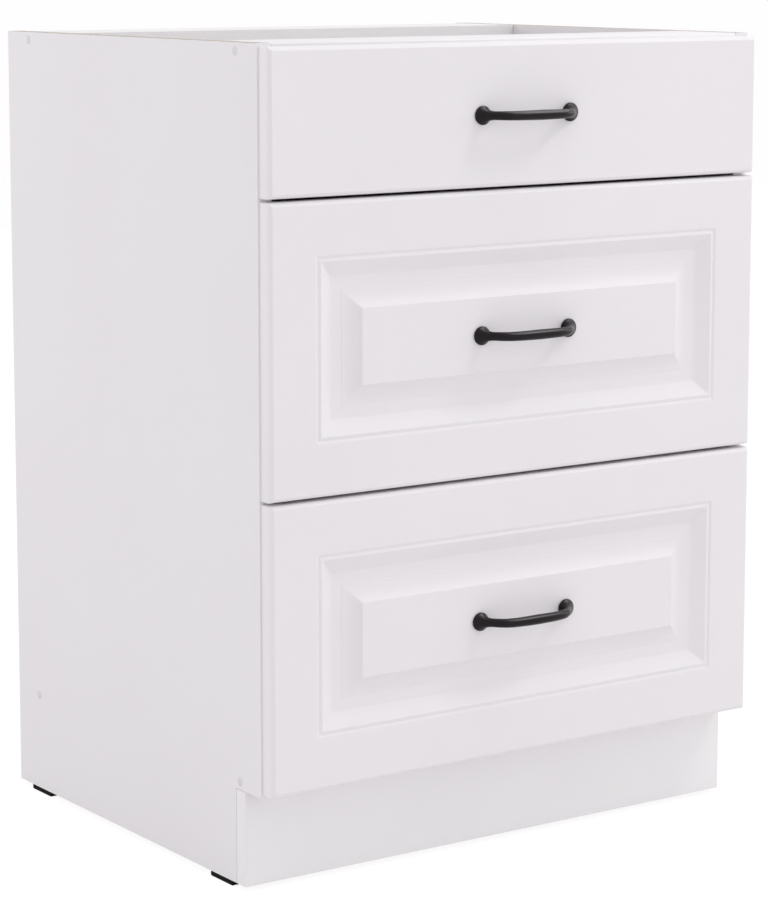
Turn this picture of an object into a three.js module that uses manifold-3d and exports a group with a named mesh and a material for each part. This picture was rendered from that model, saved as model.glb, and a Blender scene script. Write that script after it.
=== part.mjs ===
// A kitchen base cabinet with three drawers, in millimetres.
// X runs to the right, Y to the back and Z up; the fronts face -Y. The origin is on the
// floor, under the middle of the whole object with its handles.
// Depths are measured forward from the back edges of the side panels and heights from the floor.

import * as THREE from "three";
import { mergeVertices } from "three/addons/utils/BufferGeometryUtils.js";
import Module from "manifold-3d";

// ---- driving dimensions ----
const GAP = 0.3;                      // clearance between pieces that touch on the real thing
const WIDTH = 600;
const HEIGHT = 816;
const CARCASS_DEPTH = 489;
const BOARD = 16;                     // faced chipboard
const THIN_BOARD = 3;                 // hardboard of the back and the drawer bases

const GLIDE_HEIGHT = 5;
const GLIDE_LENGTH = 41;
const GLIDE_CHAMFER = 1;
const REAR_GLIDE_DEPTH = 27;          // the near end of each glide
const FRONT_GLIDE_DEPTH = 396;

const TOE_HEIGHT = 100;               // under side of the bottom panel
const PLINTH_FACE_DEPTH = 461;
const BACK_INSET = 15;                // from the back edges to the hardboard back
const BACK_BELOW_TOP = 1;
const GROOVE_DEPTH = 8;
const FRONT_RAIL_DEPTH = 88;
const REAR_RAIL_END_DEPTH = 111;

const FRONT_GAP = 1;                  // between the carcass and the drawer fronts
const FRONT_THICKNESS = 16;
const FRONT_WIDTH = 596;
const FRONT_EDGE_RADIUS = 4;
const LOWEST_FRONT_HEIGHT = 102.5;
const BETWEEN_FRONTS = 3;
const DEEP_FRONT_HEIGHT = 282;
const SHALLOW_FRONT_HEIGHT = 140.5;

// Raised panel: distances inward from the edge of the front, depths below its face.
const PANEL = {
  grooveOuter: 52.3,
  grooveMiddle: 53.8,
  beadOuter: 55.3,
  slopeTop: 58,
  floorOuter: 72,
  floorInner: 85.5,
  fieldEdge: 104.8,
  grooveDepth: 1.3,
  floorDepth: 8.5,
};

const HANDLE_SPAN = 107;              // between the two screws
const HANDLE_RISE = 25.2;             // centre line of the bow above the face, at its middle
const BAR_RADIUS_MIDDLE = 4.6;
const BAR_RADIUS_NECK = 3.9;
const ROSETTE_RADIUS = 9.25;
const ROSETTE_RIM = 1.6;
const RIM_CHAMFER = 0.6;
const FLARE_LENGTH = 10;
const FLARE_SHARPNESS = 2.2;          // the higher, the sooner the flare narrows to the neck
const HANDLE_SCREW_HOLE_RADIUS = 2.4;

const BOX_ABOVE_FRONT_EDGE = 24.5;    // lower edge of a drawer side above that of its front
const SIDE_CLEARANCE = 12.5;          // between the carcass and a drawer side, for the runners
const BOX_LENGTH = 450;
const DEEP_BOX_HEIGHT = 180;
const SHALLOW_BOX_HEIGHT = 84;
const BASE_ABOVE_BOX_EDGE = 10;
const FRONT_GROOVE_DEPTH = 6;

const STEEL = 1.2;                    // thickness of the runners
const RUNNER_LENGTH = 450;
const RUNNER_SETBACK = 2;             // from the front edge of the carcass
const CHANNEL_HEIGHT = 21;
const CHANNEL_WIDTH = 9.4;
const CHANNEL_BELOW_BOX = 3;
const UPPER_FLANGE_HEIGHT = 24;       // top of the drawer runner above the foot of the channel
const UNDER_FLANGE_WIDTH = 16;
const ROLLER_RADIUS = 9;
const ROLLER_WIDTH = 6.5;
const ROLLER_CHAMFER = 0.6;
const AXLE_RADIUS = 3;
const AXLE_HEAD_RADIUS = 4.6;
const AXLE_HEAD_THICKNESS = 0.7;
const AXLE_ROOT = 0.9;                // how far an axle starts inside its runner
const WINDOW_MARGIN = 2;              // between a roller and the end of its window in the channel
const ROLLER_SETBACK = 12;            // from the end of a runner to the axle of its roller
const TRAVEL = 340;
const STOP_HEIGHT = 2;
const STOP_LENGTH = 2.5;

const SCREW_HEAD_RADIUS = 5;
const SCREW_HEAD_DEPTH = 4;
const SCREW_SHANK_RADIUS = 2.6;
const SCREW_LENGTH = 50;
const REAR_SCREW_DEPTH = 46;
const FRONT_SCREW_DEPTH = 452;

const BRACKET_LEG = 30;
const BRACKET_WIDTH = 30;
const BRACKET_STEEL = 2;
const BRACKET_FROM_MIDDLE = 180;

// How finely the round and hollow surfaces are divided.
const SCREW_SIDES = 16;
const AXLE_SIDES = 24;
const ROLLER_SIDES = 32;
const HANDLE_SIDES = 16;
const HANDLE_STEPS_PER_HALF = 12;
const BOW_LENGTH_STEPS = 400;
const EDGE_STEPS = 4;
const HOLLOW_STEPS = 5;
const PAST = 1;                       // how far a cutting shape reaches past the face it opens

// ---- places worked out from them ----
const FRONT_BACK_DEPTH = CARCASS_DEPTH + FRONT_GAP;
const FACE_DEPTH = FRONT_BACK_DEPTH + FRONT_THICKNESS;
const TOTAL_DEPTH = FACE_DEPTH + GAP + HANDLE_RISE + BAR_RADIUS_MIDDLE;
const BACK_Y = TOTAL_DEPTH / 2;
const INNER_X = WIDTH / 2 - BOARD;
const BACK_FACE_DEPTH = BACK_INSET + GAP + THIN_BOARD;
const PLINTH_BACK_DEPTH = PLINTH_FACE_DEPTH - BOARD;
const RAIL_HEIGHT = HEIGHT - BOARD;
const RUNNER_FRONT_DEPTH = CARCASS_DEPTH - RUNNER_SETBACK;
const BOX_X = INNER_X - SIDE_CLEARANCE;
const BOX_FRONT_DEPTH = FRONT_BACK_DEPTH - GAP;
const BOX_REAR_DEPTH = BOX_FRONT_DEPTH - BOX_LENGTH;
const DRAWER_ROLLER_DEPTH = BOX_REAR_DEPTH + ROLLER_SETBACK;
const CABINET_ROLLER_DEPTH = RUNNER_FRONT_DEPTH - ROLLER_SETBACK;

const LEFT = -1;
const RIGHT = 1;
const SIDES = [["left", LEFT], ["right", RIGHT]];

// ---- finishes ----
function finish(color, roughness, metalness) {
  return () => new THREE.MeshStandardMaterial({ color, roughness, metalness });
}

const whiteBoard = finish(0xe2e0e3, 0.5, 0);
const whiteFront = finish(0xe8e5e9, 0.4, 0);
const hardboard = finish(0xdedad6, 0.6, 0);
const blackMetal = finish(0x1c1a1c, 0.35, 0.6);
const whiteSteel = finish(0xdcdcdb, 0.35, 0.3);
const nylon = finish(0xd9d8d2, 0.45, 0);
const blackPlastic = finish(0x101010, 0.5, 0);
const screwCap = finish(0xc9c8ca, 0.5, 0);
const zincSteel = finish(0xb4b6b8, 0.35, 0.9);

const wasm = await Module();
wasm.setup();

// ---- helpers ----
function toSolid(geometry) {
  const bare = geometry.clone();
  bare.deleteAttribute("normal");
  bare.deleteAttribute("uv");
  const merged = mergeVertices(bare, 1e-4);
  return new wasm.Manifold(new wasm.Mesh({
    numProp: 3,
    vertProperties: Float32Array.from(merged.attributes.position.array),
    triVerts: Uint32Array.from(merged.index.array),
  }));
}

function toGeometry(solid) {
  const mesh = solid.getMesh();
  const geometry = new THREE.BufferGeometry();
  geometry.setAttribute("position", new THREE.BufferAttribute(mesh.vertProperties, 3));
  geometry.setIndex(new THREE.BufferAttribute(mesh.triVerts, 1));
  geometry.computeVertexNormals();
  return geometry;
}

function cut(geometry, tools) {
  return toGeometry(tools.reduce((body, tool) => body.subtract(toSolid(tool)), toSolid(geometry)));
}

function join(geometry, additions) {
  return toGeometry(additions.reduce((body, piece) => body.add(toSolid(piece)), toSolid(geometry)));
}

// A block given by its limits in X, in depth and in height.
function block([x0, x1], [depth0, depth1], [z0, z1]) {
  const geometry = new THREE.BoxGeometry(Math.abs(x1 - x0), depth1 - depth0, z1 - z0);
  geometry.translate((x0 + x1) / 2, BACK_Y - (depth0 + depth1) / 2, (z0 + z1) / 2);
  return geometry;
}

// A section drawn in X and height, drawn out forward from one depth to another.
function alongDepth(outline, depth0, depth1) {
  const shape = new THREE.Shape(outline.map(([x, z]) => new THREE.Vector2(x, z)));
  const settings = { depth: depth1 - depth0, bevelEnabled: false };
  const geometry = new THREE.ExtrudeGeometry(shape, settings);
  geometry.rotateX(Math.PI / 2);
  geometry.translate(0, BACK_Y - depth0, 0);
  return geometry;
}

// A section drawn in depth and height, drawn out sideways from x0 to x1.
function acrossWidth(outline, x0, x1) {
  const shape = new THREE.Shape(outline.map(([depth, z]) => new THREE.Vector2(BACK_Y - depth, z)));
  const settings = { depth: Math.abs(x1 - x0), bevelEnabled: false };
  const geometry = new THREE.ExtrudeGeometry(shape, settings);
  const turn = new THREE.Matrix4().makeBasis(
    new THREE.Vector3(0, 1, 0),
    new THREE.Vector3(0, 0, 1),
    new THREE.Vector3(1, 0, 0),
  );
  geometry.applyMatrix4(turn);
  geometry.translate(Math.min(x0, x1), 0, 0);
  return geometry;
}

// A round body on an axis along X: the profile is [distance along X, radius] from x0 outward.
function turned(profile, sides, x0, direction, depth, z) {
  const points = profile.map(([along, radius]) => new THREE.Vector2(radius, along));
  const geometry = new THREE.LatheGeometry(points, sides);
  geometry.rotateZ(direction > 0 ? -Math.PI / 2 : Math.PI / 2);
  geometry.translate(x0, BACK_Y - depth, z);
  return geometry;
}

function piece(group, name, geometry, material) {
  const mesh = new THREE.Mesh(geometry, material());
  mesh.name = name;
  group.add(mesh);
}

// ---- carcass ----
const CORNER_SCREWS = [
  ["front", FRONT_SCREW_DEPTH],
  ["rear", REAR_SCREW_DEPTH],
];
const SCREW_HEIGHT = HEIGHT - BOARD / 2;

// The screw with its cap, drawn from the outer face of the side panel inward.
function screwProfile(clearance) {
  const head = SCREW_HEAD_RADIUS + clearance;
  const shank = SCREW_SHANK_RADIUS + clearance;
  return [
    [0, 0],
    [0, head],
    [SCREW_HEAD_DEPTH + clearance, head],
    [SCREW_HEAD_DEPTH + clearance, shank],
    [SCREW_LENGTH + clearance, shank],
    [SCREW_LENGTH + clearance, 0],
  ];
}

function cornerScrew(side, depth, clearance) {
  const outerFace = side * WIDTH / 2;
  return turned(screwProfile(clearance), SCREW_SIDES, outerFace, -side, depth, SCREW_HEIGHT);
}

function sidePanel(side) {
  const sideOutline = [
    [0, GLIDE_HEIGHT],
    [PLINTH_BACK_DEPTH - GAP, GLIDE_HEIGHT],
    [PLINTH_BACK_DEPTH - GAP, TOE_HEIGHT],
    [CARCASS_DEPTH, TOE_HEIGHT],
    [CARCASS_DEPTH, HEIGHT],
    [0, HEIGHT],
  ];
  const panel = acrossWidth(sideOutline, side * WIDTH / 2, side * INNER_X);
  const groove = block(
    [side * (INNER_X - PAST), side * (INNER_X + GROOVE_DEPTH)],
    [BACK_INSET, BACK_FACE_DEPTH + GAP],
    [0, HEIGHT + PAST],
  );
  const screws = CORNER_SCREWS.map(([, depth]) => cornerScrew(side, depth, GAP));
  return cut(panel, [groove, ...screws]);
}

function topRail(depth0, depth1, screwDepth) {
  const rail = block([GAP - INNER_X, INNER_X - GAP], [depth0, depth1], [RAIL_HEIGHT, HEIGHT]);
  return cut(rail, SIDES.map(([, side]) => cornerScrew(side, screwDepth, GAP)));
}

function glide(side, depth) {
  const end = depth + GLIDE_LENGTH;
  const glideOutline = [
    [depth, GLIDE_HEIGHT - GAP],
    [depth, GLIDE_CHAMFER],
    [depth + GLIDE_CHAMFER, 0],
    [end - GLIDE_CHAMFER, 0],
    [end, GLIDE_CHAMFER],
    [end, GLIDE_HEIGHT - GAP],
  ];
  return acrossWidth(glideOutline, side * WIDTH / 2, side * INNER_X);
}

// The angle that holds the plinth board, one leg behind it and one under the bottom panel.
function plinthBracket(side) {
  const front = PLINTH_BACK_DEPTH - GAP;
  const top = TOE_HEIGHT - GAP;
  const bracketOutline = [
    [front, top],
    [front, top - BRACKET_LEG],
    [front - BRACKET_STEEL, top - BRACKET_LEG],
    [front - BRACKET_STEEL, top - BRACKET_STEEL],
    [front - BRACKET_LEG, top - BRACKET_STEEL],
    [front - BRACKET_LEG, top],
  ];
  const middle = side * BRACKET_FROM_MIDDLE;
  return acrossWidth(bracketOutline, middle - BRACKET_WIDTH / 2, middle + BRACKET_WIDTH / 2);
}

function addCarcass(cabinet) {
  for (const [sideName, side] of SIDES) {
    piece(cabinet, `side_panel_${sideName}`, sidePanel(side), whiteBoard);
    piece(cabinet, `floor_glide_front_${sideName}`, glide(side, FRONT_GLIDE_DEPTH), blackPlastic);
    piece(cabinet, `floor_glide_rear_${sideName}`, glide(side, REAR_GLIDE_DEPTH), blackPlastic);
    piece(cabinet, `plinth_bracket_${sideName}`, plinthBracket(side), zincSteel);
    for (const [end, depth] of CORNER_SCREWS) {
      piece(cabinet, `corner_screw_${end}_${sideName}`, cornerScrew(side, depth, 0), screwCap);
    }
  }
  const between = [GAP - INNER_X, INNER_X - GAP];
  const rearStart = BACK_FACE_DEPTH + GAP;
  const bottom = block(between, [rearStart, CARCASS_DEPTH], [TOE_HEIGHT, TOE_HEIGHT + BOARD]);
  piece(cabinet, "bottom_panel", bottom, whiteBoard);

  const frontRail = topRail(CARCASS_DEPTH - FRONT_RAIL_DEPTH, CARCASS_DEPTH, FRONT_SCREW_DEPTH);
  piece(cabinet, "top_rail_front", frontRail, whiteBoard);
  const rearRail = topRail(rearStart, REAR_RAIL_END_DEPTH, REAR_SCREW_DEPTH);
  piece(cabinet, "top_rail_rear", rearRail, whiteBoard);

  const backReach = INNER_X + GROOVE_DEPTH - GAP;
  const backDepths = [BACK_INSET + GAP, BACK_FACE_DEPTH];
  const back = block([-backReach, backReach], backDepths, [TOE_HEIGHT, HEIGHT - BACK_BELOW_TOP]);
  piece(cabinet, "back_panel", back, hardboard);

  const plinthDepths = [PLINTH_BACK_DEPTH, PLINTH_FACE_DEPTH];
  const plinth = block([-WIDTH / 2, WIDTH / 2], plinthDepths, [GLIDE_HEIGHT, TOE_HEIGHT - GAP]);
  piece(cabinet, "plinth_board", plinth, whiteBoard);
}

// ---- runners and rollers ----
function rollerProfile() {
  const bore = AXLE_RADIUS + GAP;
  const rim = ROLLER_RADIUS - ROLLER_CHAMFER;
  return [
    [0, bore],
    [0, rim],
    [ROLLER_CHAMFER, ROLLER_RADIUS],
    [ROLLER_WIDTH - ROLLER_CHAMFER, ROLLER_RADIUS],
    [ROLLER_WIDTH, rim],
    [ROLLER_WIDTH, bore],
    [0, bore],
  ];
}

// A stub axle that starts inside a runner's web and ends in a flat head past the roller.
function axle(x0, direction, depth, z) {
  const neck = ROLLER_WIDTH + 3 * GAP;
  const profile = [
    [0, 0],
    [0, AXLE_RADIUS],
    [neck, AXLE_RADIUS],
    [neck, AXLE_HEAD_RADIUS],
    [neck + AXLE_HEAD_THICKNESS, AXLE_HEAD_RADIUS],
    [neck + AXLE_HEAD_THICKNESS, 0],
  ];
  return turned(profile, AXLE_SIDES, x0, direction, depth, z);
}

// Channel screwed to the side panel; footHeight is the under side of its lower flange.
const CHANNEL_OUTER_X = INNER_X - GAP;
const CHANNEL_WEB_X = CHANNEL_OUTER_X - STEEL;
const CABINET_ROLLER_X = CHANNEL_WEB_X - GAP;
const CABINET_ROLLER_ABOVE_FOOT = UPPER_FLANGE_HEIGHT - STEEL - GAP - ROLLER_RADIUS;

function cabinetRunner(side, footHeight) {
  const top = footHeight + CHANNEL_HEIGHT;
  const outer = side * CHANNEL_OUTER_X;
  const web = side * CHANNEL_WEB_X;
  const lip = side * (CHANNEL_OUTER_X - CHANNEL_WIDTH);
  const channelOutline = [
    [outer, footHeight],
    [lip, footHeight],
    [lip, footHeight + STEEL],
    [web, footHeight + STEEL],
    [web, top - STEEL],
    [lip, top - STEEL],
    [lip, top],
    [outer, top],
  ];
  const rear = RUNNER_FRONT_DEPTH - RUNNER_LENGTH;
  const channel = alongDepth(channelOutline, rear, RUNNER_FRONT_DEPTH);
  const rollerWindow = block(
    [side * (CHANNEL_WEB_X + STEEL - AXLE_ROOT), side * (CHANNEL_OUTER_X - CHANNEL_WIDTH - PAST)],
    [CABINET_ROLLER_DEPTH - ROLLER_RADIUS - WINDOW_MARGIN, RUNNER_FRONT_DEPTH + PAST],
    [top - STEEL - PAST, top + PAST],
  );
  const axleHeight = footHeight + CABINET_ROLLER_ABOVE_FOOT;
  const stub = axle(side * (CHANNEL_OUTER_X - AXLE_ROOT), -side, CABINET_ROLLER_DEPTH, axleHeight);
  const halfContact = Math.sqrt(ROLLER_RADIUS ** 2 - (ROLLER_RADIUS - STOP_HEIGHT) ** 2);
  const stopStart = DRAWER_ROLLER_DEPTH + TRAVEL + halfContact + 2 * GAP;
  const stop = block(
    [web, lip],
    [stopStart, stopStart + STOP_LENGTH],
    [footHeight + STEEL / 2, footHeight + STEEL + STOP_HEIGHT],
  );
  return join(cut(channel, [rollerWindow]), [stub, stop]);
}

function cabinetRoller(side, footHeight) {
  const height = footHeight + CABINET_ROLLER_ABOVE_FOOT;
  const start = side * CABINET_ROLLER_X;
  return turned(rollerProfile(), ROLLER_SIDES, start, -side, CABINET_ROLLER_DEPTH, height);
}

// Runner on the drawer: a web beside the drawer side, a flange over the cabinet's roller
// and a flange under the drawer side. Heights are from the lower edge of the drawer side.
const DRAWER_WEB_INNER_X = BOX_X + GAP;
const DRAWER_WEB_OUTER_X = DRAWER_WEB_INNER_X + STEEL;
const DRAWER_ROLLER_X = DRAWER_WEB_OUTER_X + GAP;
const DRAWER_ROLLER_HEIGHT = STEEL + GAP + ROLLER_RADIUS - CHANNEL_BELOW_BOX;

function drawerRunner(side, boxHeight) {
  const flangeTop = boxHeight - CHANNEL_BELOW_BOX + UPPER_FLANGE_HEIGHT;
  const underside = boxHeight - GAP - STEEL;
  const inner = side * DRAWER_WEB_INNER_X;
  const outer = side * DRAWER_WEB_OUTER_X;
  const overRoller = side * (CHANNEL_WEB_X - 3 * GAP);
  const underBox = side * (DRAWER_WEB_OUTER_X - UNDER_FLANGE_WIDTH);
  const runnerOutline = [
    [inner, flangeTop],
    [overRoller, flangeTop],
    [overRoller, flangeTop - STEEL],
    [outer, flangeTop - STEEL],
    [outer, underside],
    [underBox, underside],
    [underBox, underside + STEEL],
    [inner, underside + STEEL],
  ];
  const rail = alongDepth(runnerOutline, BOX_REAR_DEPTH, BOX_FRONT_DEPTH - RUNNER_SETBACK);
  const axleStart = side * (DRAWER_WEB_INNER_X + AXLE_ROOT);
  const stub = axle(axleStart, side, DRAWER_ROLLER_DEPTH, boxHeight + DRAWER_ROLLER_HEIGHT);
  return join(rail, [stub]);
}

function drawerRoller(side, boxHeight) {
  const height = boxHeight + DRAWER_ROLLER_HEIGHT;
  const start = side * DRAWER_ROLLER_X;
  return turned(rollerProfile(), ROLLER_SIDES, start, side, DRAWER_ROLLER_DEPTH, height);
}

// ---- drawer fronts ----
// The relief of a front from its back edge to the middle: [inset from the edge, depth below face].
function edgeRelief() {
  const relief = [[0, FRONT_THICKNESS]];
  for (let i = 0; i <= EDGE_STEPS; i += 1) {
    const angle = (i / EDGE_STEPS) * Math.PI / 2;
    const inset = FRONT_EDGE_RADIUS * (1 - Math.cos(angle));
    relief.push([inset, FRONT_EDGE_RADIUS * (1 - Math.sin(angle))]);
  }
  return relief;
}

function raisedPanelRelief() {
  const relief = [
    ...edgeRelief(),
    [PANEL.grooveOuter, 0],
    [PANEL.grooveMiddle, PANEL.grooveDepth],
    [PANEL.beadOuter, PANEL.grooveDepth / 4],
    [PANEL.slopeTop, PANEL.grooveDepth / 2],
    [PANEL.floorOuter, PANEL.floorDepth],
    [PANEL.floorInner, PANEL.floorDepth],
  ];
  // A hollow arc, tangent to the floor, climbs to the edge of the raised field.
  const run = PANEL.fieldEdge - PANEL.floorInner;
  const fullAngle = 2 * Math.atan(PANEL.floorDepth / run);
  const arcRadius = run / Math.sin(fullAngle);
  for (let i = 1; i <= HOLLOW_STEPS; i += 1) {
    const angle = fullAngle * i / HOLLOW_STEPS;
    const rise = arcRadius * (1 - Math.cos(angle));
    relief.push([PANEL.floorInner + arcRadius * Math.sin(angle), PANEL.floorDepth - rise]);
  }
  return relief;
}

// Nested rectangles, one for each point of the relief, joined at mitred corners.
function frontBoard(height, relief) {
  const positions = [];
  for (const [inset, below] of relief) {
    const x = FRONT_WIDTH / 2 - inset;
    const y = BACK_Y - FACE_DEPTH + below;
    const low = inset;
    const high = height - inset;
    positions.push(-x, y, low, x, y, low, x, y, high, -x, y, high);
  }
  const index = [0, 2, 1, 0, 3, 2];
  for (let ring = 0; ring < relief.length - 1; ring += 1) {
    for (let corner = 0; corner < 4; corner += 1) {
      const a = 4 * ring + corner;
      const b = 4 * ring + (corner + 1) % 4;
      index.push(a, b, b + 4, a, b + 4, a + 4);
    }
  }
  const last = 4 * (relief.length - 1);
  index.push(last, last + 1, last + 2, last, last + 2, last + 3);
  const geometry = new THREE.BufferGeometry();
  geometry.setAttribute("position", new THREE.Float32BufferAttribute(positions, 3));
  geometry.setIndex(index);
  return geometry;
}

// Holes for the handle's screws, and at the back the groove that takes the drawer base.
function drawerFront(height, relief) {
  const holes = [LEFT, RIGHT].map((side) => {
    const bore = new THREE.CylinderGeometry(
      HANDLE_SCREW_HOLE_RADIUS,
      HANDLE_SCREW_HOLE_RADIUS,
      FRONT_THICKNESS + 2 * PAST,
      SCREW_SIDES,
    );
    const middleDepth = FRONT_BACK_DEPTH + FRONT_THICKNESS / 2;
    bore.translate(side * HANDLE_SPAN / 2, BACK_Y - middleDepth, height / 2);
    return bore;
  });
  const baseHeight = BOX_ABOVE_FRONT_EDGE + BASE_ABOVE_BOX_EDGE;
  const reach = BOX_X - BOARD + GROOVE_DEPTH;
  const groove = block(
    [-reach, reach],
    [FRONT_BACK_DEPTH - PAST, FRONT_BACK_DEPTH + FRONT_GROOVE_DEPTH],
    [baseHeight - GAP, baseHeight + THIN_BOARD + GAP],
  );
  return cut(frontBoard(height, relief), [...holes, groove]);
}

// ---- handles ----
// Radius of the handle at a distance along its centre line from the nearer rosette face.
function handleRadius(distance, halfLength) {
  if (distance <= ROSETTE_RIM) {
    return ROSETTE_RADIUS;
  }
  const swell = (distance / halfLength) * (BAR_RADIUS_MIDDLE - BAR_RADIUS_NECK);
  const flare = Math.max(0, 1 - (distance - ROSETTE_RIM) / FLARE_LENGTH);
  const rimInside = ROSETTE_RADIUS - RIM_CHAMFER;
  return BAR_RADIUS_NECK + swell + (rimInside - BAR_RADIUS_NECK) * flare ** FLARE_SHARPNESS;
}

function handleStations(halfLength) {
  const half = [0, ROSETTE_RIM];
  for (let i = 1; i <= HANDLE_STEPS_PER_HALF; i += 1) {
    const share = 1 - Math.cos((i / HANDLE_STEPS_PER_HALF) * Math.PI / 2);
    const flareStart = ROSETTE_RIM + RIM_CHAMFER / 3;
    half.push(flareStart + share * (halfLength - flareStart));
  }
  const otherHalf = half.slice(0, -1).reverse().map((distance) => 2 * halfLength - distance);
  return [...half, ...otherHalf];
}

// A bow on a half ellipse that stands on the face, with a flared round foot at each end.
function handle(height) {
  const sides = HANDLE_SIDES;
  const bow = new THREE.EllipseCurve(0, 0, HANDLE_SPAN / 2, HANDLE_RISE, Math.PI, 0, true);
  bow.arcLengthDivisions = BOW_LENGTH_STEPS;
  const length = bow.getLength();
  const positions = [];
  const stations = handleStations(length / 2);
  for (const station of stations) {
    const centre = bow.getPointAt(station / length);
    const tangent = bow.getTangentAt(station / length);
    const radius = handleRadius(Math.min(station, length - station), length / 2);
    for (let i = 0; i < sides; i += 1) {
      const angle = (i / sides) * 2 * Math.PI;
      const inPlane = radius * Math.cos(angle);
      positions.push(
        centre.x - tangent.y * inPlane,
        BACK_Y - FACE_DEPTH - GAP - (centre.y + tangent.x * inPlane),
        height + radius * Math.sin(angle),
      );
    }
  }
  const index = [];
  for (let ring = 0; ring < stations.length - 1; ring += 1) {
    for (let i = 0; i < sides; i += 1) {
      const a = ring * sides + i;
      const b = ring * sides + (i + 1) % sides;
      index.push(a, b + sides, b, a, a + sides, b + sides);
    }
  }
  const last = (stations.length - 1) * sides;
  for (let i = 1; i < sides - 1; i += 1) {
    index.push(0, i, i + 1, last, last + i + 1, last + i);
  }
  const geometry = new THREE.BufferGeometry();
  geometry.setAttribute("position", new THREE.Float32BufferAttribute(positions, 3));
  geometry.setIndex(index);
  return geometry;
}

// ---- drawers ----
// A drawer is drawn with its heights from the lower edge of its front.
function addDrawer(cabinet, name, frontBottom, frontHeight, boxHeight, relief) {
  const drawer = new THREE.Group();
  drawer.position.z = frontBottom;
  cabinet.add(drawer);

  piece(drawer, `${name}_drawer_front`, drawerFront(frontHeight, relief), whiteFront);
  piece(drawer, `${name}_drawer_handle`, handle(frontHeight / 2), blackMetal);

  const boxBottom = BOX_ABOVE_FRONT_EDGE;
  const boxTop = boxBottom + boxHeight;
  const boxDepths = [BOX_REAR_DEPTH, BOX_FRONT_DEPTH];
  const boxInnerX = BOX_X - BOARD;
  const baseBottom = boxBottom + BASE_ABOVE_BOX_EDGE;
  const baseTop = baseBottom + THIN_BOARD;
  for (const [sideName, side] of SIDES) {
    const board = block([side * boxInnerX, side * BOX_X], boxDepths, [boxBottom, boxTop]);
    const groove = block(
      [side * (boxInnerX - PAST), side * (boxInnerX + GROOVE_DEPTH)],
      [BOX_REAR_DEPTH - PAST, BOX_FRONT_DEPTH + PAST],
      [baseBottom - GAP, baseTop + GAP],
    );
    piece(drawer, `${name}_drawer_side_${sideName}`, cut(board, [groove]), whiteBoard);
    piece(drawer, `${name}_drawer_runner_${sideName}`, drawerRunner(side, boxBottom), whiteSteel);
    piece(drawer, `${name}_drawer_roller_${sideName}`, drawerRoller(side, boxBottom), nylon);
  }

  const backDepths = [BOX_REAR_DEPTH, BOX_REAR_DEPTH + BOARD];
  const boxInside = [GAP - boxInnerX, boxInnerX - GAP];
  const back = block(boxInside, backDepths, [baseTop + GAP, boxTop]);
  piece(drawer, `${name}_drawer_back`, back, whiteBoard);

  const reach = boxInnerX + GROOVE_DEPTH - GAP;
  const baseDepths = [BOX_REAR_DEPTH, FRONT_BACK_DEPTH + FRONT_GROOVE_DEPTH - GAP];
  const base = block([-reach, reach], baseDepths, [baseBottom, baseTop]);
  piece(drawer, `${name}_drawer_base`, base, hardboard);

  const footHeight = frontBottom + boxBottom - CHANNEL_BELOW_BOX;
  for (const [sideName, side] of SIDES) {
    const place = `${name}_${sideName}`;
    piece(cabinet, `cabinet_runner_${place}`, cabinetRunner(side, footHeight), whiteSteel);
    piece(cabinet, `cabinet_roller_${place}`, cabinetRoller(side, footHeight), nylon);
  }
}

const cabinet = new THREE.Group();
addCarcass(cabinet);

const middleFrontHeight = LOWEST_FRONT_HEIGHT + DEEP_FRONT_HEIGHT + BETWEEN_FRONTS;
const topFrontHeight = middleFrontHeight + DEEP_FRONT_HEIGHT + BETWEEN_FRONTS;
const deep = [DEEP_FRONT_HEIGHT, DEEP_BOX_HEIGHT, raisedPanelRelief()];
const shallow = [SHALLOW_FRONT_HEIGHT, SHALLOW_BOX_HEIGHT, edgeRelief()];
addDrawer(cabinet, "bottom", LOWEST_FRONT_HEIGHT, ...deep);
addDrawer(cabinet, "middle", middleFrontHeight, ...deep);
addDrawer(cabinet, "top", topFrontHeight, ...shallow);

export default cabinet;
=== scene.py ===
"""A white kitchen base cabinet with three drawers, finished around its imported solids.

Metres, in the frame's axes: X to the right, Y to the wall, Z up, the fronts face -Y.
Boards get eased edges, edge bands and raw chipboard; fronts, handles, runners, rollers and
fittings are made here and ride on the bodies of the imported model.
"""
import math

import bmesh
import bpy
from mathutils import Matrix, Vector


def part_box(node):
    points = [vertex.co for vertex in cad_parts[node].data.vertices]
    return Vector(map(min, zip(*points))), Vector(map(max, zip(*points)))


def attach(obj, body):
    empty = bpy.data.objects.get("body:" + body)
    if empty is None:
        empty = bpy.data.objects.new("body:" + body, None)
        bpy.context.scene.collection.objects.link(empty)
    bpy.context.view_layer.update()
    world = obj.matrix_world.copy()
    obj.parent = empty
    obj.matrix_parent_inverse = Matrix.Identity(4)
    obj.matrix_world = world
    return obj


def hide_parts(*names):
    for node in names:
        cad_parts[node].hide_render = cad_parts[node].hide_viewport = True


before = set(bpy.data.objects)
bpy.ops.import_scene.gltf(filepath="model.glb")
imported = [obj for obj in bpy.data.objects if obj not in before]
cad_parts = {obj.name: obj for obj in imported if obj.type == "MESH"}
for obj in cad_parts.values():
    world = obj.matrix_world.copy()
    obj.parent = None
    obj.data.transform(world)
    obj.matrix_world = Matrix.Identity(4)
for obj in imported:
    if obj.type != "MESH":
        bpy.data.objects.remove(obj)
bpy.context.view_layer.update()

MM = 0.001
SIDES = (("left", -1), ("right", 1))
DRAWERS = ("bottom", "middle", "top")
X, Y, Z = 0, 1, 2

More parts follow.
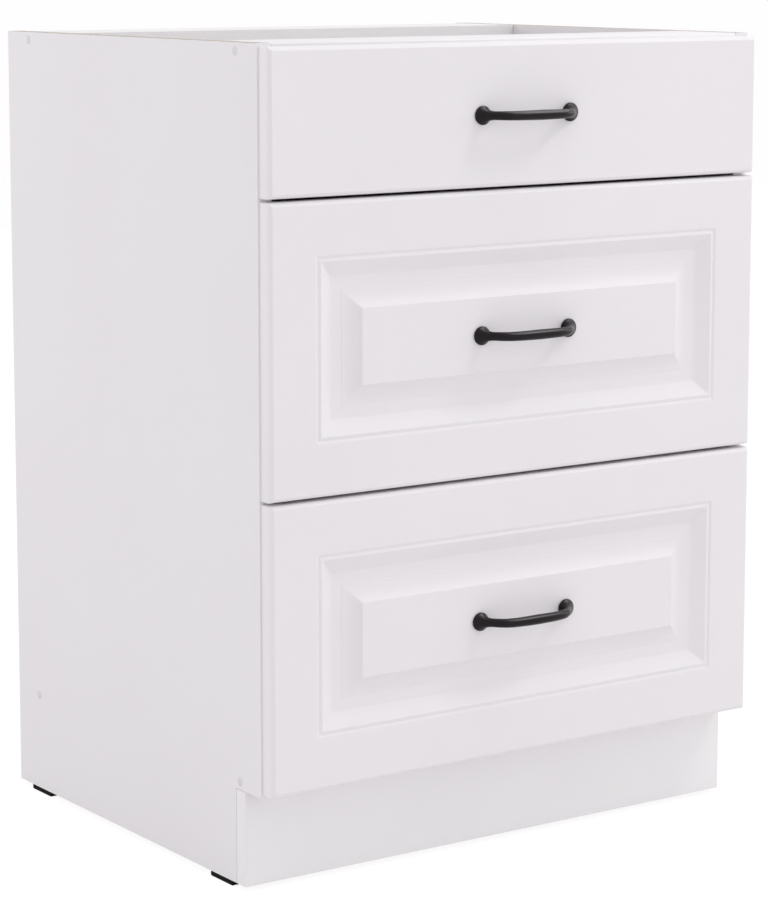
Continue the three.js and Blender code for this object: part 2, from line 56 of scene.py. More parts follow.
# ---- boards and drawer fronts, in metres ----
EASED = 0.15 * MM                    # the eased edge of a board
NOSE = 2.0 * MM                      # rounding of the front rail's nose
SEAM = 0.04 * MM                     # between a closed front and the side panels
BAND = 0.8 * MM                      # thickness of the edge band
BASE_PLAY = 0.3 * MM                 # round a drawer's base in its groove
WELD = 0.001 * MM                    # points closer than this are one
ON_LINE = 0.01 * MM                  # points closer than this to a line lie on it
NEAR_FACE = 0.6 * MM                 # a polygon this near to a board's face belongs to it

EDGE_RADIUS = 6.4 * MM               # rounding of the fronts, which stops short of the face
EDGE_SWEEP = math.radians(68)
EDGE_STEPS = 10
COVE_STEPS = 14                      # along the hollow round the raised field
CORNER_RADIUS = 1.3 * MM
CORNER_STEPS = 5

# ---- handles ----
BOW_HALF_SPAN = 53.5 * MM
BOW_RISE = 24.8 * MM
BOW_STATIONS = 110
BOW_SIDES = 40
LEG_LEAN = math.radians(52)          # the legs lean inwards from the feet
LEG_PULL = 25.8 * MM                 # how far the legs' direction shapes the bow
CROWN_PULL = 39.5 * MM               # how far the level crown does
FOOT_RIM = 2.0 * MM                  # height of a foot's straight rim
TRUMPET_RADIUS = 8.6 * MM            # the flare above a foot's rim
TRUMPET_LENGTH = 13.0 * MM
TRUMPET_POWER = 2.6                  # how soon the flare runs out
BAR_RADIUS = 5.0 * MM
NECK_RADIUS = 4.15 * MM
ROSETTE_RADIUS = 9.25 * MM

# ---- caps, cams and the holes for them ----
CAP_RADIUS = 4.2 * MM
CAP_DOME = 0.4 * MM
CAP_PLAY = 0.1 * MM                  # between a cap and its bore
CAP_BORE_DEPTH = 3.9 * MM
OWN_BORE = 6.5 * MM                  # a node's own screw hole lies within this radius
SCREW_RADIUS = 2.6 * MM              # of the connecting screws, which the caps cover
SCREW_LENGTH = 50 * MM
LOW_SCREW_HEIGHT = 108 * MM
CAM_RADIUS = 7.4 * MM
CAM_DEPTH = 8 * MM
CAM_PLAY = 0.15 * MM                 # between a cam and its pocket
CAM_FROM_FRONT = 34 * MM
PROUD = 1 * MM                       # how far a cutter stands out of what it cuts

# ---- runners and brackets ----
RUNNER_GAP = 0.3 * MM                # between a runner and the board that carries it
RUNNER_STEEL = 1.2 * MM
BRACKET_STEEL = 2 * MM
HOLE_RADIUS = 2.1 * MM               # the holes along the runners
HOLE_PITCH = 32 * MM
HOLE_COUNT = 12
HOLE_REACH = 3 * MM                  # length of the drill, which crosses the steel
DRAWER_HOLES = (26 * MM, 9.5 * MM)   # the first hole, from the front end and from below
CABINET_HOLES = (40 * MM, 10.5 * MM)  # its screws are level with the holes
ROLLER_BORE = 3.3 * MM
ROLLER_HUB = 4.9 * MM
ROLLER_SIDES = 56

# ---- places of screws, from the front end of what they hold ----
CABINET_RUNNER_SCREWS = (24 * MM, 216 * MM, 408 * MM)
DRAWER_RUNNER_SCREWS = (60 * MM, 250 * MM, 400 * MM)
DRAWER_RUNNER_SCREW_INSET = 9 * MM   # from the outer face of the drawer side
BRACKET_SCREW_SPREAD = 8 * MM        # to either side of a bracket's middle
BRACKET_SCREW_HEIGHT = 11 * MM       # on the upright leg
BRACKET_SCREW_DEPTH = 20 * MM        # on the level leg


def srgb(red, green, blue):
    """A colour as it is read off a screen, 0 to 255, in linear light."""
    def linear(value):
        value /= 255
        return value / 12.92 if value <= 0.04045 else ((value + 0.055) / 1.055) ** 2.4
    return (linear(red), linear(green), linear(blue), 1.0)


# ================================ finishes ================================
# What the group of a surface puts out.
SURFACE = (
    ("Colour", "NodeSocketColor"),
    ("Roughness", "NodeSocketFloat"),
    ("Height", "NodeSocketFloat"),
)


def new_group(name, inputs, outputs):
    """An empty shader node group with named sockets, and its two end nodes."""
    tree = bpy.data.node_groups.new(name, "ShaderNodeTree")
    for label, kind, value in inputs:
        socket = tree.interface.new_socket(label, in_out="INPUT", socket_type=kind)
        socket.default_value = value
    for label, kind in outputs:
        tree.interface.new_socket(label, in_out="OUTPUT", socket_type=kind)
    return tree, tree.nodes.new("NodeGroupInput"), tree.nodes.new("NodeGroupOutput")


def noise(tree, place, scale, detail=2.0, roughness=0.5):
    node = tree.nodes.new("ShaderNodeTexNoise")
    node.inputs["Scale"].default_value = scale
    node.inputs["Detail"].default_value = detail
    node.inputs["Roughness"].default_value = roughness
    tree.links.new(place, node.inputs["Vector"])
    return node


def spread(tree, value, low, high, out_low=0.0, out_high=1.0):
    """Maps a value from one range to another, held to the ends."""
    node = tree.nodes.new("ShaderNodeMapRange")
    for label, number in zip(("From Min", "From Max", "To Min", "To Max"),
                             (low, high, out_low, out_high)):
        node.inputs[label].default_value = number
    tree.links.new(value, node.inputs["Value"])
    return node.outputs["Result"]


def maths(tree, operation, first, second):
    node = tree.nodes.new("ShaderNodeMath")
    node.operation = operation
    for socket, value in zip(node.inputs, (first, second)):
        if isinstance(value, (int, float)):
            socket.default_value = value
        else:
            tree.links.new(value, socket)
    return node.outputs[0]


def mix_colour(tree, factor, first, second):
    node = tree.nodes.new("ShaderNodeMix")
    node.data_type = "RGBA"
    for label, value in (("Factor_Float", factor), ("A_Color", first), ("B_Color", second)):
        socket = next(s for s in node.inputs if s.identifier == label)
        if isinstance(value, (int, float, tuple)):
            socket.default_value = value
        else:
            tree.links.new(value, socket)
    return next(s for s in node.outputs if s.identifier == "Result_Color")


def make_skin_group():
    """A painted, coated or moulded skin: two close tones, a fine orange peel and uneven gloss."""
    tree, start, end = new_group(
        "coated_skin",
        [
            ("Place", "NodeSocketVector", (0.0, 0.0, 0.0)),
            ("Tone", "NodeSocketColor", (0.8, 0.8, 0.8, 1.0)),
            ("Other Tone", "NodeSocketColor", (0.8, 0.8, 0.8, 1.0)),
            ("Cloud Scale", "NodeSocketFloat", 9.0),
            ("Peel Scale", "NodeSocketFloat", 900.0),
            ("Gloss Low", "NodeSocketFloat", 0.35),
            ("Gloss High", "NodeSocketFloat", 0.45),
        ],
        SURFACE,
    )
    place = start.outputs["Place"]
    clouds = noise(tree, place, 9.0, 3.0, 0.55)
    tree.links.new(start.outputs["Cloud Scale"], clouds.inputs["Scale"])
    peel = noise(tree, place, 900.0, 2.0, 0.45)
    tree.links.new(start.outputs["Peel Scale"], peel.inputs["Scale"])
    patches = spread(tree, clouds.outputs["Fac"], 0.3, 0.7)
    colour = mix_colour(tree, patches, start.outputs["Tone"], start.outputs["Other Tone"])
    tree.links.new(colour, end.inputs["Colour"])
    both = maths(tree, "ADD", maths(tree, "MULTIPLY", patches, 0.6),
                 maths(tree, "MULTIPLY", peel.outputs["Fac"], 0.4))
    span = maths(tree, "SUBTRACT", start.outputs["Gloss High"], start.outputs["Gloss Low"])
    gloss = maths(tree, "ADD", start.outputs["Gloss Low"], maths(tree, "MULTIPLY", both, span))
    tree.links.new(gloss, end.inputs["Roughness"])
    tree.links.new(peel.outputs["Fac"], end.inputs["Height"])
    return tree


def make_chip_group():
    """Raw chipboard as a saw leaves it: flat chips of several tones, pores and fine dust."""
    tree, start, end = new_group(
        "raw_chips",
        [
            ("Place", "NodeSocketVector", (0.0, 0.0, 0.0)),
            ("Flatness", "NodeSocketVector", (1.0, 1.0, 1.0)),
            ("Pale", "NodeSocketColor", (0.6, 0.5, 0.4, 1.0)),
            ("Dark", "NodeSocketColor", (0.3, 0.22, 0.15, 1.0)),
        ],
        SURFACE,
    )
    stretch = tree.nodes.new("ShaderNodeVectorMath")
    stretch.operation = "MULTIPLY"
    tree.links.new(start.outputs["Place"], stretch.inputs[0])
    tree.links.new(start.outputs["Flatness"], stretch.inputs[1])
    chips = tree.nodes.new("ShaderNodeTexVoronoi")
    chips.inputs["Scale"].default_value = 330.0
    chips.inputs["Randomness"].default_value = 1.0
    tree.links.new(stretch.outputs[0], chips.inputs["Vector"])
    tone = tree.nodes.new("ShaderNodeSeparateColor")
    tree.links.new(chips.outputs["Color"], tone.inputs["Color"])
    dust = noise(tree, stretch.outputs[0], 1500.0, 3.0, 0.6)
    pores = spread(tree, dust.outputs["Fac"], 0.28, 0.44, 0.35, 1.0)
    shade = spread(tree, tone.outputs["Red"], 0.0, 1.0, 0.0, 0.85)
    colour = mix_colour(tree, shade, start.outputs["Pale"], start.outputs["Dark"])
    dimmed = mix_colour(tree, pores, start.outputs["Dark"], colour)
    tree.links.new(dimmed, end.inputs["Colour"])
    tree.links.new(spread(tree, dust.outputs["Fac"], 0.3, 0.7, 0.95, 0.8), end.inputs["Roughness"])
    height = maths(tree, "ADD", maths(tree, "MULTIPLY", tone.outputs["Green"], 0.5),
                   maths(tree, "MULTIPLY", pores, 0.5))
    tree.links.new(height, end.inputs["Height"])
    return tree


def make_scratch_group():
    """Where rollers run and hands touch: bright thin lines that follow the drawer's travel."""
    tree, start, end = new_group(
        "travel_marks",
        [
            ("Place", "NodeSocketVector", (0.0, 0.0, 0.0)),
            ("Amount", "NodeSocketFloat", 0.3),
        ],
        [("Mask", "NodeSocketFloat")],
    )
    # The noise is fine across the travel and long along it.
    along = tree.nodes.new("ShaderNodeVectorMath")
    along.operation = "MULTIPLY"
    along.inputs[1].default_value = (1400.0, 9.0, 1400.0)
    tree.links.new(start.outputs["Place"], along.inputs[0])
    lines = noise(tree, along.outputs[0], 1.0, 2.0, 0.5)
    patches = noise(tree, start.outputs["Place"], 26.0, 1.0, 0.5)
    mask = maths(tree, "MULTIPLY", spread(tree, lines.outputs["Fac"], 0.6, 0.72),
                 spread(tree, patches.outputs["Fac"], 0.42, 0.62))
    tree.links.new(maths(tree, "MULTIPLY", mask, start.outputs["Amount"]), end.inputs["Mask"])
    return tree


def make_fibre_group():
    """The unpainted face of hardboard: pressed wood fibres that lie every way, some darker."""
    tree, start, end = new_group(
        "pressed_fibres",
        [
            ("Place", "NodeSocketVector", (0.0, 0.0, 0.0)),
            ("Base", "NodeSocketColor", (0.4, 0.25, 0.15, 1.0)),
            ("Dark", "NodeSocketColor", (0.2, 0.12, 0.07, 1.0)),
            ("Pale", "NodeSocketColor", (0.5, 0.35, 0.22, 1.0)),
        ],
        SURFACE,
    )
    strands = []
    for turn in ((35, 25, 40), (-35, 50, -20), (10, -40, 75)):
        lay = tree.nodes.new("ShaderNodeMapping")
        lay.vector_type = "TEXTURE"
        lay.inputs["Rotation"].default_value = [math.radians(angle) for angle in turn]
        lay.inputs["Scale"].default_value = (0.4 * MM, 4.5 * MM, 0.4 * MM)
        tree.links.new(start.outputs["Place"], lay.inputs["Vector"])
        strands.append(noise(tree, lay.outputs["Vector"], 1.0, 1.5, 0.5).outputs["Fac"])
    clouds = noise(tree, start.outputs["Place"], 7.0, 5.0, 0.62).outputs["Fac"]
    specks = noise(tree, start.outputs["Place"], 260.0, 3.0, 0.6).outputs["Fac"]
    dark = maths(tree, "MAXIMUM", spread(tree, strands[0], 0.56, 0.7),
                 spread(tree, strands[1], 0.56, 0.7))
    dark = maths(tree, "MAXIMUM", dark, spread(tree, specks, 0.58, 0.7))
    pale = maths(tree, "ADD", spread(tree, strands[2], 0.5, 0.72, 0.0, 0.6),
                 spread(tree, clouds, 0.4, 0.7, 0.0, 0.4))
    colour = mix_colour(tree, pale, start.outputs["Base"], start.outputs["Pale"])
    colour = mix_colour(tree, maths(tree, "MULTIPLY", dark, 0.75), colour, start.outputs["Dark"])
    tree.links.new(colour, end.inputs["Colour"])
    tree.links.new(spread(tree, strands[0], 0.3, 0.7, 0.62, 0.8), end.inputs["Roughness"])
    tree.links.new(maths(tree, "ADD", strands[1], strands[2]), end.inputs["Height"])
    return tree


COATED_SKIN = make_skin_group()
RAW_CHIPS = make_chip_group()
PRESSED_FIBRES = make_fibre_group()
TRAVEL_MARKS = make_scratch_group()


def new_material(name, **fixed):
    """A Principled material. Numbers that are the same all over go on its own sockets."""
    material = bpy.data.materials.new(name)
    material.use_nodes = True
    shader = material.node_tree.nodes["Principled BSDF"]
    for label, value in fixed.items():
        shader.inputs[label.replace("_", " ")].default_value = value
    return material, material.node_tree, shader


def place_in(tree):
    """The point on the piece, in the piece's own coordinates."""
    return tree.nodes.new("ShaderNodeTexCoord").outputs["Object"]


def put_group(tree, group, **values):
    """Places a group in a material with its own values, or with links, on its inputs."""
    node = tree.nodes.new("ShaderNodeGroup")
    node.node_tree = group
    for label, value in values.items():
        socket = node.inputs[label.replace("_", " ")]
        if isinstance(value, bpy.types.NodeSocket):
            tree.links.new(value, socket)
        else:
            socket.default_value = value
    return node


def bump(tree, shader, height, distance):
    node = tree.nodes.new("ShaderNodeBump")
    node.inputs["Distance"].default_value = distance
    node.inputs["Strength"].default_value = 1.0
    tree.links.new(height, node.inputs["Height"])
    tree.links.new(node.outputs["Normal"], shader.inputs["Normal"])


def lay_surface(tree, shader, group, depth):
    """Gives the shader a surface group's colour and roughness, and its height as a relief."""
    tree.links.new(group.outputs["Colour"], shader.inputs["Base Color"])
    tree.links.new(group.outputs["Roughness"], shader.inputs["Roughness"])
    bump(tree, shader, group.outputs["Height"], depth)


def coated(name, tone, other, gloss, clouds, peel, depth, **fixed):
    """A skin of two close tones.

    gloss is the range of its roughness, clouds and peel the scales of its two patterns, and
    depth the relief of the finer one.
    """
    material, tree, shader = new_material(name, **fixed)
    skin = put_group(tree, COATED_SKIN, Place=place_in(tree), Tone=tone, Other_Tone=other,
                     Cloud_Scale=clouds, Peel_Scale=peel, Gloss_Low=gloss[0], Gloss_High=gloss[1])
    lay_surface(tree, shader, skin, depth)
    return material


def chipboard(name, flatness):
    """A sawn edge of chipboard, with the chips pressed flat along one axis."""
    material, tree, shader = new_material(name, Specular_IOR_Level=0.2)
    chips = put_group(tree, RAW_CHIPS, Place=place_in(tree), Flatness=flatness,
                      Pale=srgb(205, 198, 189), Dark=srgb(154, 143, 130))
    lay_surface(tree, shader, chips, depth=0.12 * MM)
    return material


def hardboard(name, base, dark, pale):
    """The brown face of hardboard, in three tones of its fibres."""
    material, tree, shader = new_material(name, Specular_IOR_Level=0.3)
    fibres = put_group(tree, PRESSED_FIBRES, Place=place_in(tree), Base=base, Dark=dark, Pale=pale)
    lay_surface(tree, shader, fibres, depth=0.04 * MM)
    return material


def coated_steel(name, tone, other, gloss, bare):
    """Steel under a coat that the rollers rub through in thin lines."""
    material, tree, shader = new_material(name)
    place = place_in(tree)
    skin = put_group(tree, COATED_SKIN, Place=place, Tone=tone, Other_Tone=other,
                     Cloud_Scale=30.0, Peel_Scale=1400.0, Gloss_Low=gloss[0], Gloss_High=gloss[1])
    marks = put_group(tree, TRAVEL_MARKS, Place=place, Amount=0.45)
    mask = marks.outputs["Mask"]
    rubbed = mix_colour(tree, mask, skin.outputs["Colour"], bare)
    tree.links.new(rubbed, shader.inputs["Base Color"])
    tree.links.new(mask, shader.inputs["Metallic"])
    tree.links.new(skin.outputs["Roughness"], shader.inputs["Roughness"])
    bump(tree, shader, skin.outputs["Height"], 0.015 * MM)
    return material


FILM = coated("front_film", srgb(231, 228, 231), srgb(233, 230, 232), (0.46, 0.54),
              clouds=5.0, peel=1100.0, depth=0.006 * MM)
LAMINATE = coated("white_laminate", srgb(229, 226, 229), srgb(231, 228.5, 231), (0.48, 0.56),
                  clouds=6.0, peel=1500.0, depth=0.012 * MM)
# The plinth's white foil is written lighter than the laminate. This is painted light: it stands in
# for the bounce light on the shaded, recessed plinth.
PLINTH_FOIL_WITH_PAINTED_LIGHT = coated("white_plinth_foil", srgb(239, 237, 239), srgb(241, 239, 240), (0.4, 0.48),
                    clouds=8.0, peel=1200.0, depth=0.008 * MM)
EDGE_BAND = coated("white_edge_band", srgb(233, 231, 233), srgb(235, 233, 234), (0.34, 0.42),
                   clouds=12.0, peel=700.0, depth=0.006 * MM)
WHITE_LACQUER = coated("hardboard_white_face", srgb(231, 229, 228), srgb(228, 226, 224), (0.4, 0.5),
                       clouds=14.0, peel=1300.0, depth=0.02 * MM)
BROWN_FIBRE = hardboard("hardboard_brown_face", srgb(164, 135, 105), srgb(126, 98, 71),
                        srgb(184, 158, 128))
RAW_FIBRE = coated("raw_fibreboard", srgb(184, 154, 118), srgb(168, 138, 104), (0.85, 0.95),
                   clouds=90.0, peel=2200.0, depth=0.04 * MM, Specular_IOR_Level=0.2)
CHIPS = {
    X: chipboard("chipboard_edge_upright", (3.2, 1.0, 1.0)),
    Y: chipboard("chipboard_edge_facing", (1.0, 3.2, 1.0)),
    Z: chipboard("chipboard_edge_flat", (1.0, 1.0, 3.2)),
}
SATIN_BLACK = coated("satin_black_coat", srgb(15, 8, 12), srgb(20, 12, 17), (0.27, 0.33),
                     clouds=120.0, peel=2600.0, depth=0.012 * MM, Specular_IOR_Level=0.2)
BLACK_PLASTIC = coated("black_glide_plastic", srgb(6, 5, 6), srgb(11, 10, 11), (0.5, 0.65),
                       clouds=150.0, peel=3000.0, depth=0.02 * MM, Specular_IOR_Level=0.05)
GREY_CAP = coated("grey_cap_plastic", srgb(218, 215, 218), srgb(214, 211, 215), (0.42, 0.5),
                  clouds=200.0, peel=2500.0, depth=0.01 * MM)
NYLON = coated("off_white_nylon", srgb(226, 224, 214), srgb(219, 216, 205), (0.38, 0.48),
               clouds=180.0, peel=2400.0, depth=0.01 * MM, Subsurface_Weight=0.15,
               Subsurface_Scale=0.6 * MM)
RUNNER_COAT = coated_steel("white_runner_coat", srgb(229, 229, 228), srgb(224, 224, 224),
                           (0.3, 0.38), srgb(158, 160, 163))
ZINC = coated("zinc_plating", srgb(196, 199, 203), srgb(172, 177, 184), (0.24, 0.4),
              clouds=160.0, peel=1800.0, depth=0.01 * MM, Metallic=1.0)
CAM_METAL = coated("die_cast_zinc", srgb(176, 177, 180), srgb(160, 162, 166), (0.38, 0.52),
                   clouds=220.0, peel=2600.0, depth=0.02 * MM, Metallic=0.9)


# ================================ mesh tools ================================
def mesh_object(name, mesh, *materials):
    for material in materials:
        mesh.materials.append(material)
    piece = bpy.data.objects.new(name, mesh)
    bpy.context.scene.collection.objects.link(piece)
    return piece


def from_bmesh(name, shape, *materials):
    mesh = bpy.data.meshes.new(name)
    shape.to_mesh(mesh)
    shape.free()
    return mesh_object(name, mesh, *materials)


def smooth(piece, angle):
    """Shades the piece smooth, except over edges sharper than the angle, in degrees."""
    piece.data.shade_smooth()
    piece.data.set_sharp_from_angle(angle=math.radians(angle))
    return piece


def settle(piece):
    """Turns what the modifiers show into the piece's own mesh and takes them off."""
    shown = piece.evaluated_get(bpy.context.evaluated_depsgraph_get())
    mesh = bpy.data.meshes.new_from_object(shown)
    mesh.name = piece.name
    piece.modifiers.clear()
    piece.data = mesh
    return piece


def solid_of(node):
    """The CAD node's shape as a welded bmesh with whole flat faces."""
    shape = bmesh.new()
    shape.from_mesh(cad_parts[node].data)
    bmesh.ops.remove_doubles(shape, verts=shape.verts, dist=WELD)
    flat = math.radians(0.4)
    bmesh.ops.dissolve_limit(shape, angle_limit=flat, verts=shape.verts, edges=shape.edges)
    clean = bmesh.new()
    kept = [clean.verts.new(v.co) for v in shape.verts]
    shape.verts.index_update()
    for face in shape.faces:
        clean.faces.new([kept[v.index] for v in face.verts])
    shape.free()
    clean.normal_update()
    return clean


def ease_edges(piece, width, segments=2):
    """Rounds every edge that is sharper than 35 degrees."""
    rounding = piece.modifiers.new("eased", "BEVEL")
    rounding.width = width
    rounding.segments = segments
    rounding.limit_method = "ANGLE"
    rounding.angle_limit = math.radians(35)
    return settle(piece)


def cut_away(piece, cutters):
    """Takes the shapes of the cutters out of the piece, which keeps their finish in the cut."""
    for cutter in cutters:
        hole = piece.modifiers.new("cut", "BOOLEAN")
        hole.operation = "DIFFERENCE"
        hole.solver = "EXACT"
        hole.material_mode = "TRANSFER"
        hole.object = cutter
    settle(piece)
    for cutter in cutters:
        bpy.data.objects.remove(cutter)
    return piece


def block(name, low, high, *materials):
    """A plain block between two corners."""
    shape = bmesh.new()
    middle, size = (Vector(low) + Vector(high)) / 2, Vector(high) - Vector(low)
    bmesh.ops.create_cube(shape, size=1.0)
    bmesh.ops.scale(shape, vec=size, verts=shape.verts)
    bmesh.ops.translate(shape, vec=middle, verts=shape.verts)
    return from_bmesh(name, shape, *materials)


def skin_rings(name, rings, *materials, closed_ends=True):
    """A closed skin over rings of points, each ring with the same number of points."""
    shape = bmesh.new()
    rows = [[shape.verts.new(point) for point in ring] for ring in rings]
    count = len(rings[0])
    for row, following in zip(rows, rows[1:]):
        for i in range(count):
            j = (i + 1) % count
            shape.faces.new((row[i], row[j], following[j], following[i]))
    if closed_ends:
        shape.faces.new(rows[0][::-1])
        shape.faces.new(rows[-1])
    bmesh.ops.recalc_face_normals(shape, faces=shape.faces)
    return from_bmesh(name, shape, *materials)


def round_angles(sides):
    """Even angles once round a circle."""
    return [2 * math.pi * i / sides for i in range(sides)]


def turned(name, profile, sides, origin, axis, *materials):
    """A round body: the profile is (distance along the axis, radius), both ends at radius 0."""
    direction = Vector(axis).normalized()
    across = direction.orthogonal().normalized()
    upward = direction.cross(across)
    start = Vector(origin)
    shape = bmesh.new()
    rows = []
    for along, radius in profile:
        centre = start + direction * along
        if radius == 0:
            rows.append([shape.verts.new(centre)])
            continue
        rows.append([
            shape.verts.new(centre + (across * math.cos(angle) + upward * math.sin(angle)) * radius)
            for angle in round_angles(sides)
        ])
    for row, following in zip(rows, rows[1:]):
        for i in range(sides):
            j = (i + 1) % sides
            if len(row) == 1:
                shape.faces.new((row[0], following[i], following[j]))
            elif len(following) == 1:
                shape.faces.new((row[i], row[j], following[0]))
            else:
                shape.faces.new((row[i], row[j], following[j], following[i]))
    bmesh.ops.recalc_face_normals(shape, faces=shape.faces)
    return from_bmesh(name, shape, *materials)


def drill_bit(name, point, axis, radius, depth, sides, finish):
    """A round cutter that goes in at the point, along the axis, and finishes the hole it leaves."""
    profile = [(-PROUD, 0), (-PROUD, radius), (depth, radius), (depth, 0)]
    return turned(name, profile, sides, point, axis, finish)


def cross_stamp(arm, thin, bottom, top, finish):
    """Two cutters that press a cross into the face of a screw or a cam."""
    return [
        block("arm", (-arm, -thin, bottom), (arm, thin, top), finish),
        block("arm", (-thin, -arm, bottom), (thin, arm, top), finish),
    ]


def outer_face(board, side):
    """x of the face of an upright board that looks away from the cabinet's middle."""
    low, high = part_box(board)
    return high.x if side > 0 else low.x


def inner_face(board, side):
    """x of the face that looks at the middle."""
    return outer_face(board, -side)


def finish_piece(piece, body, slot, *nodes):
    """Hangs a finished piece on its body and in place of its nodes; its slot is not used."""
    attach(piece, body)
    if nodes:
        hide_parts(*nodes)
    return piece


# ================================ boards ================================
def close_bores(shape, bores):
    """Fills the node's own screw holes, whose centres are given as (y, z)."""
    near = [v for v in shape.verts
            if any(math.hypot(v.co.y - y, v.co.z - z) < OWN_BORE for y, z in bores)]
    bmesh.ops.delete(shape, geom=near, context="VERTS")
    rims = [edge for edge in shape.edges if edge.is_boundary]
    bmesh.ops.edgeloop_fill(shape, edges=rims)
    bmesh.ops.recalc_face_normals(shape, faces=shape.faces)


def round_nose(shape, front):
    """Rounds the two long edges of a flat board's front."""
    shortest = 100 * MM
    edges = [edge for edge in shape.edges
             if all(abs(v.co.y - front) < ON_LINE for v in edge.verts)
             and edge.calc_length() > shortest]
    bmesh.ops.bevel(shape, geom=edges, offset=NOSE, segments=6, profile=0.5, affect="EDGES")


def banded_shape(node, banded, bores, nosed):
    """A board's node with its own screw holes filled and a seam beside each banded edge."""
    low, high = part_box(node)
    shape = solid_of(node)
    if bores:
        close_bores(shape, bores)
    if nosed:
        round_nose(shape, low.y)
    for axis, sign in banded:
        seam = low.copy() if sign < 0 else high.copy()
        seam[axis] -= sign * BAND
        normal = Vector((0, 0, 0))
        normal[axis] = 1
        parts = list(shape.verts) + list(shape.edges) + list(shape.faces)
        bmesh.ops.bisect_plane(shape, geom=parts, plane_co=seam, plane_no=normal)
    return shape


def finish_of(polygon, low, high, thickness, banded, faces, raw):
    """The finish of one polygon of a board: edge band, the face's own or raw."""
    centre, normal = polygon.center, polygon.normal
    for axis, sign in banded:
        edge = low if sign < 0 else high
        if abs(edge[axis] - centre[axis]) < BAND:
            return EDGE_BAND
    depth = min(centre[thickness] - low[thickness], high[thickness] - centre[thickness])
    if depth < NEAR_FACE and abs(normal[thickness]) > 0.5:
        return faces[0] if normal[thickness] < 0 else faces[1]
    return raw


def cap_bores(low, high, bores, raw):
    """Cutters for the caps of a side panel: at its own screw holes and at the low screws."""
    outer = low.x if low.x < 0 else high.x
    places = list(bores) + [(y, LOW_SCREW_HEIGHT) for y, _ in bores]
    return [
        drill_bit("cap_bore", (outer, y, z), (-outer, 0, 0), CAP_RADIUS + CAP_PLAY,
                  CAP_BORE_DEPTH, 40, raw)
        for y, z in places
    ]


def cam_pockets(pockets, raw):
    """Cutters for the pockets in a drawer side, from the cams' (point, direction)."""
    return [
        drill_bit("cam_pocket", point, tuple(-part for part in direction),
                  CAM_RADIUS + CAM_PLAY, CAM_DEPTH, 48, raw)
        for point, direction in pockets
    ]


def finish_board(node, body, slot, thickness, banded, faces=(LAMINATE, LAMINATE), edge=None,
                 bores=(), pockets=(), nosed=False):
    """A board from its node: faced on both sides, banded on some edges and raw on the others.

    thickness is the axis across the board, banded lists (axis, sign) of banded edges, faces
    holds the finishes of its low and high face, edge the finish of its raw edges, bores the
    node's own screw holes, and pockets (point, direction) of the holes for the cams.
    """
    low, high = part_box(node)
    raw = edge or CHIPS[thickness]
    finishes = list(dict.fromkeys((*faces, EDGE_BAND, raw)))
    piece = from_bmesh(f"{node}_board", banded_shape(node, banded, bores, nosed), *finishes)
    ease_edges(piece, EASED)
    if nosed:
        smooth(piece, 30)
    for polygon in piece.data.polygons:
        finish = finish_of(polygon, low, high, thickness, banded, faces, raw)
        polygon.material_index = finishes.index(finish)
    if bores:
        cut_away(piece, cap_bores(low, high, bores, raw))
    if pockets:
        cut_away(piece, cam_pockets(pockets, raw))
    return finish_piece(piece, body, slot, node)


def cam_places(drawer, side_name, side):
    """(point, direction) of the cams that hold a drawer's front, on the inner face of a side."""
    board = f"{drawer}_drawer_side_{side_name}"
    low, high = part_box(board)
    inner = inner_face(board, side)
    shares = (0.55,) if drawer == "top" else (0.32, 0.8)
    return [((inner, low.y + CAM_FROM_FRONT, low.z + share * (high.z - low.z)), (-side, 0, 0))
            for share in shares]


def screw_place(end, side_name):
    """(y, z) of an upper connecting screw."""
    low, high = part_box(f"corner_screw_{end}_{side_name}")
    return (low.y + high.y) / 2, (low.z + high.z) / 2


for side_name, side in SIDES:
    finish_board(f"side_panel_{side_name}", "carcass", "white_board", X, [(Y, -1)],
                 bores=[screw_place(end, side_name) for end in ("front", "rear")])
finish_board("bottom_panel", "carcass", "white_board", Z, [(Y, -1)])
finish_board("top_rail_front", "carcass", "white_board", Z, [(Y, -1)], nosed=True)
finish_board("top_rail_rear", "carcass", "white_board", Z, [(Y, -1)])
# The plinth's faces take the foil with painted light.
finish_board("plinth_board", "carcass", "white_board", Y, [(X, -1), (X, 1)],
             (PLINTH_FOIL_WITH_PAINTED_LIGHT, PLINTH_FOIL_WITH_PAINTED_LIGHT))
finish_board("back_panel", "carcass", "hardboard", Y, [], (WHITE_LACQUER, BROWN_FIBRE),
             BROWN_FIBRE)

for drawer in DRAWERS:
    body = f"{drawer}_drawer"
    for side_name, side in SIDES:
        finish_board(f"{body}_side_{side_name}", body, "white_board", X, [(Z, 1)],
                     pockets=cam_places(drawer, side_name, side))
    finish_board(f"{body}_back", body, "white_board", Y, [(Z, 1)])
    finish_board(f"{body}_base", body, "hardboard", Z, [], (BROWN_FIBRE, WHITE_LACQUER),
                 BROWN_FIBRE)


# ================================ drawer fronts ================================
def edge_profile(thickness):
    """(inset from the edge, depth below the face) from the back of a front to its face."""
    ease, turn = 0.12 * MM, 0.035 * MM
    points = [(ease, thickness), (turn, thickness - turn), (0.0, thickness - ease)]
    start = EDGE_RADIUS * math.sin(EDGE_SWEEP)
    for i in range(EDGE_STEPS + 1):
        angle = EDGE_SWEEP * i / EDGE_STEPS
        points.append((EDGE_RADIUS * (1 - math.cos(angle)), start - EDGE_RADIUS * math.sin(angle)))
    reach = points[-1][0]
    return points + [(reach + 0.4 * MM, 0.0), (reach + 2 * MM, 0.0)]


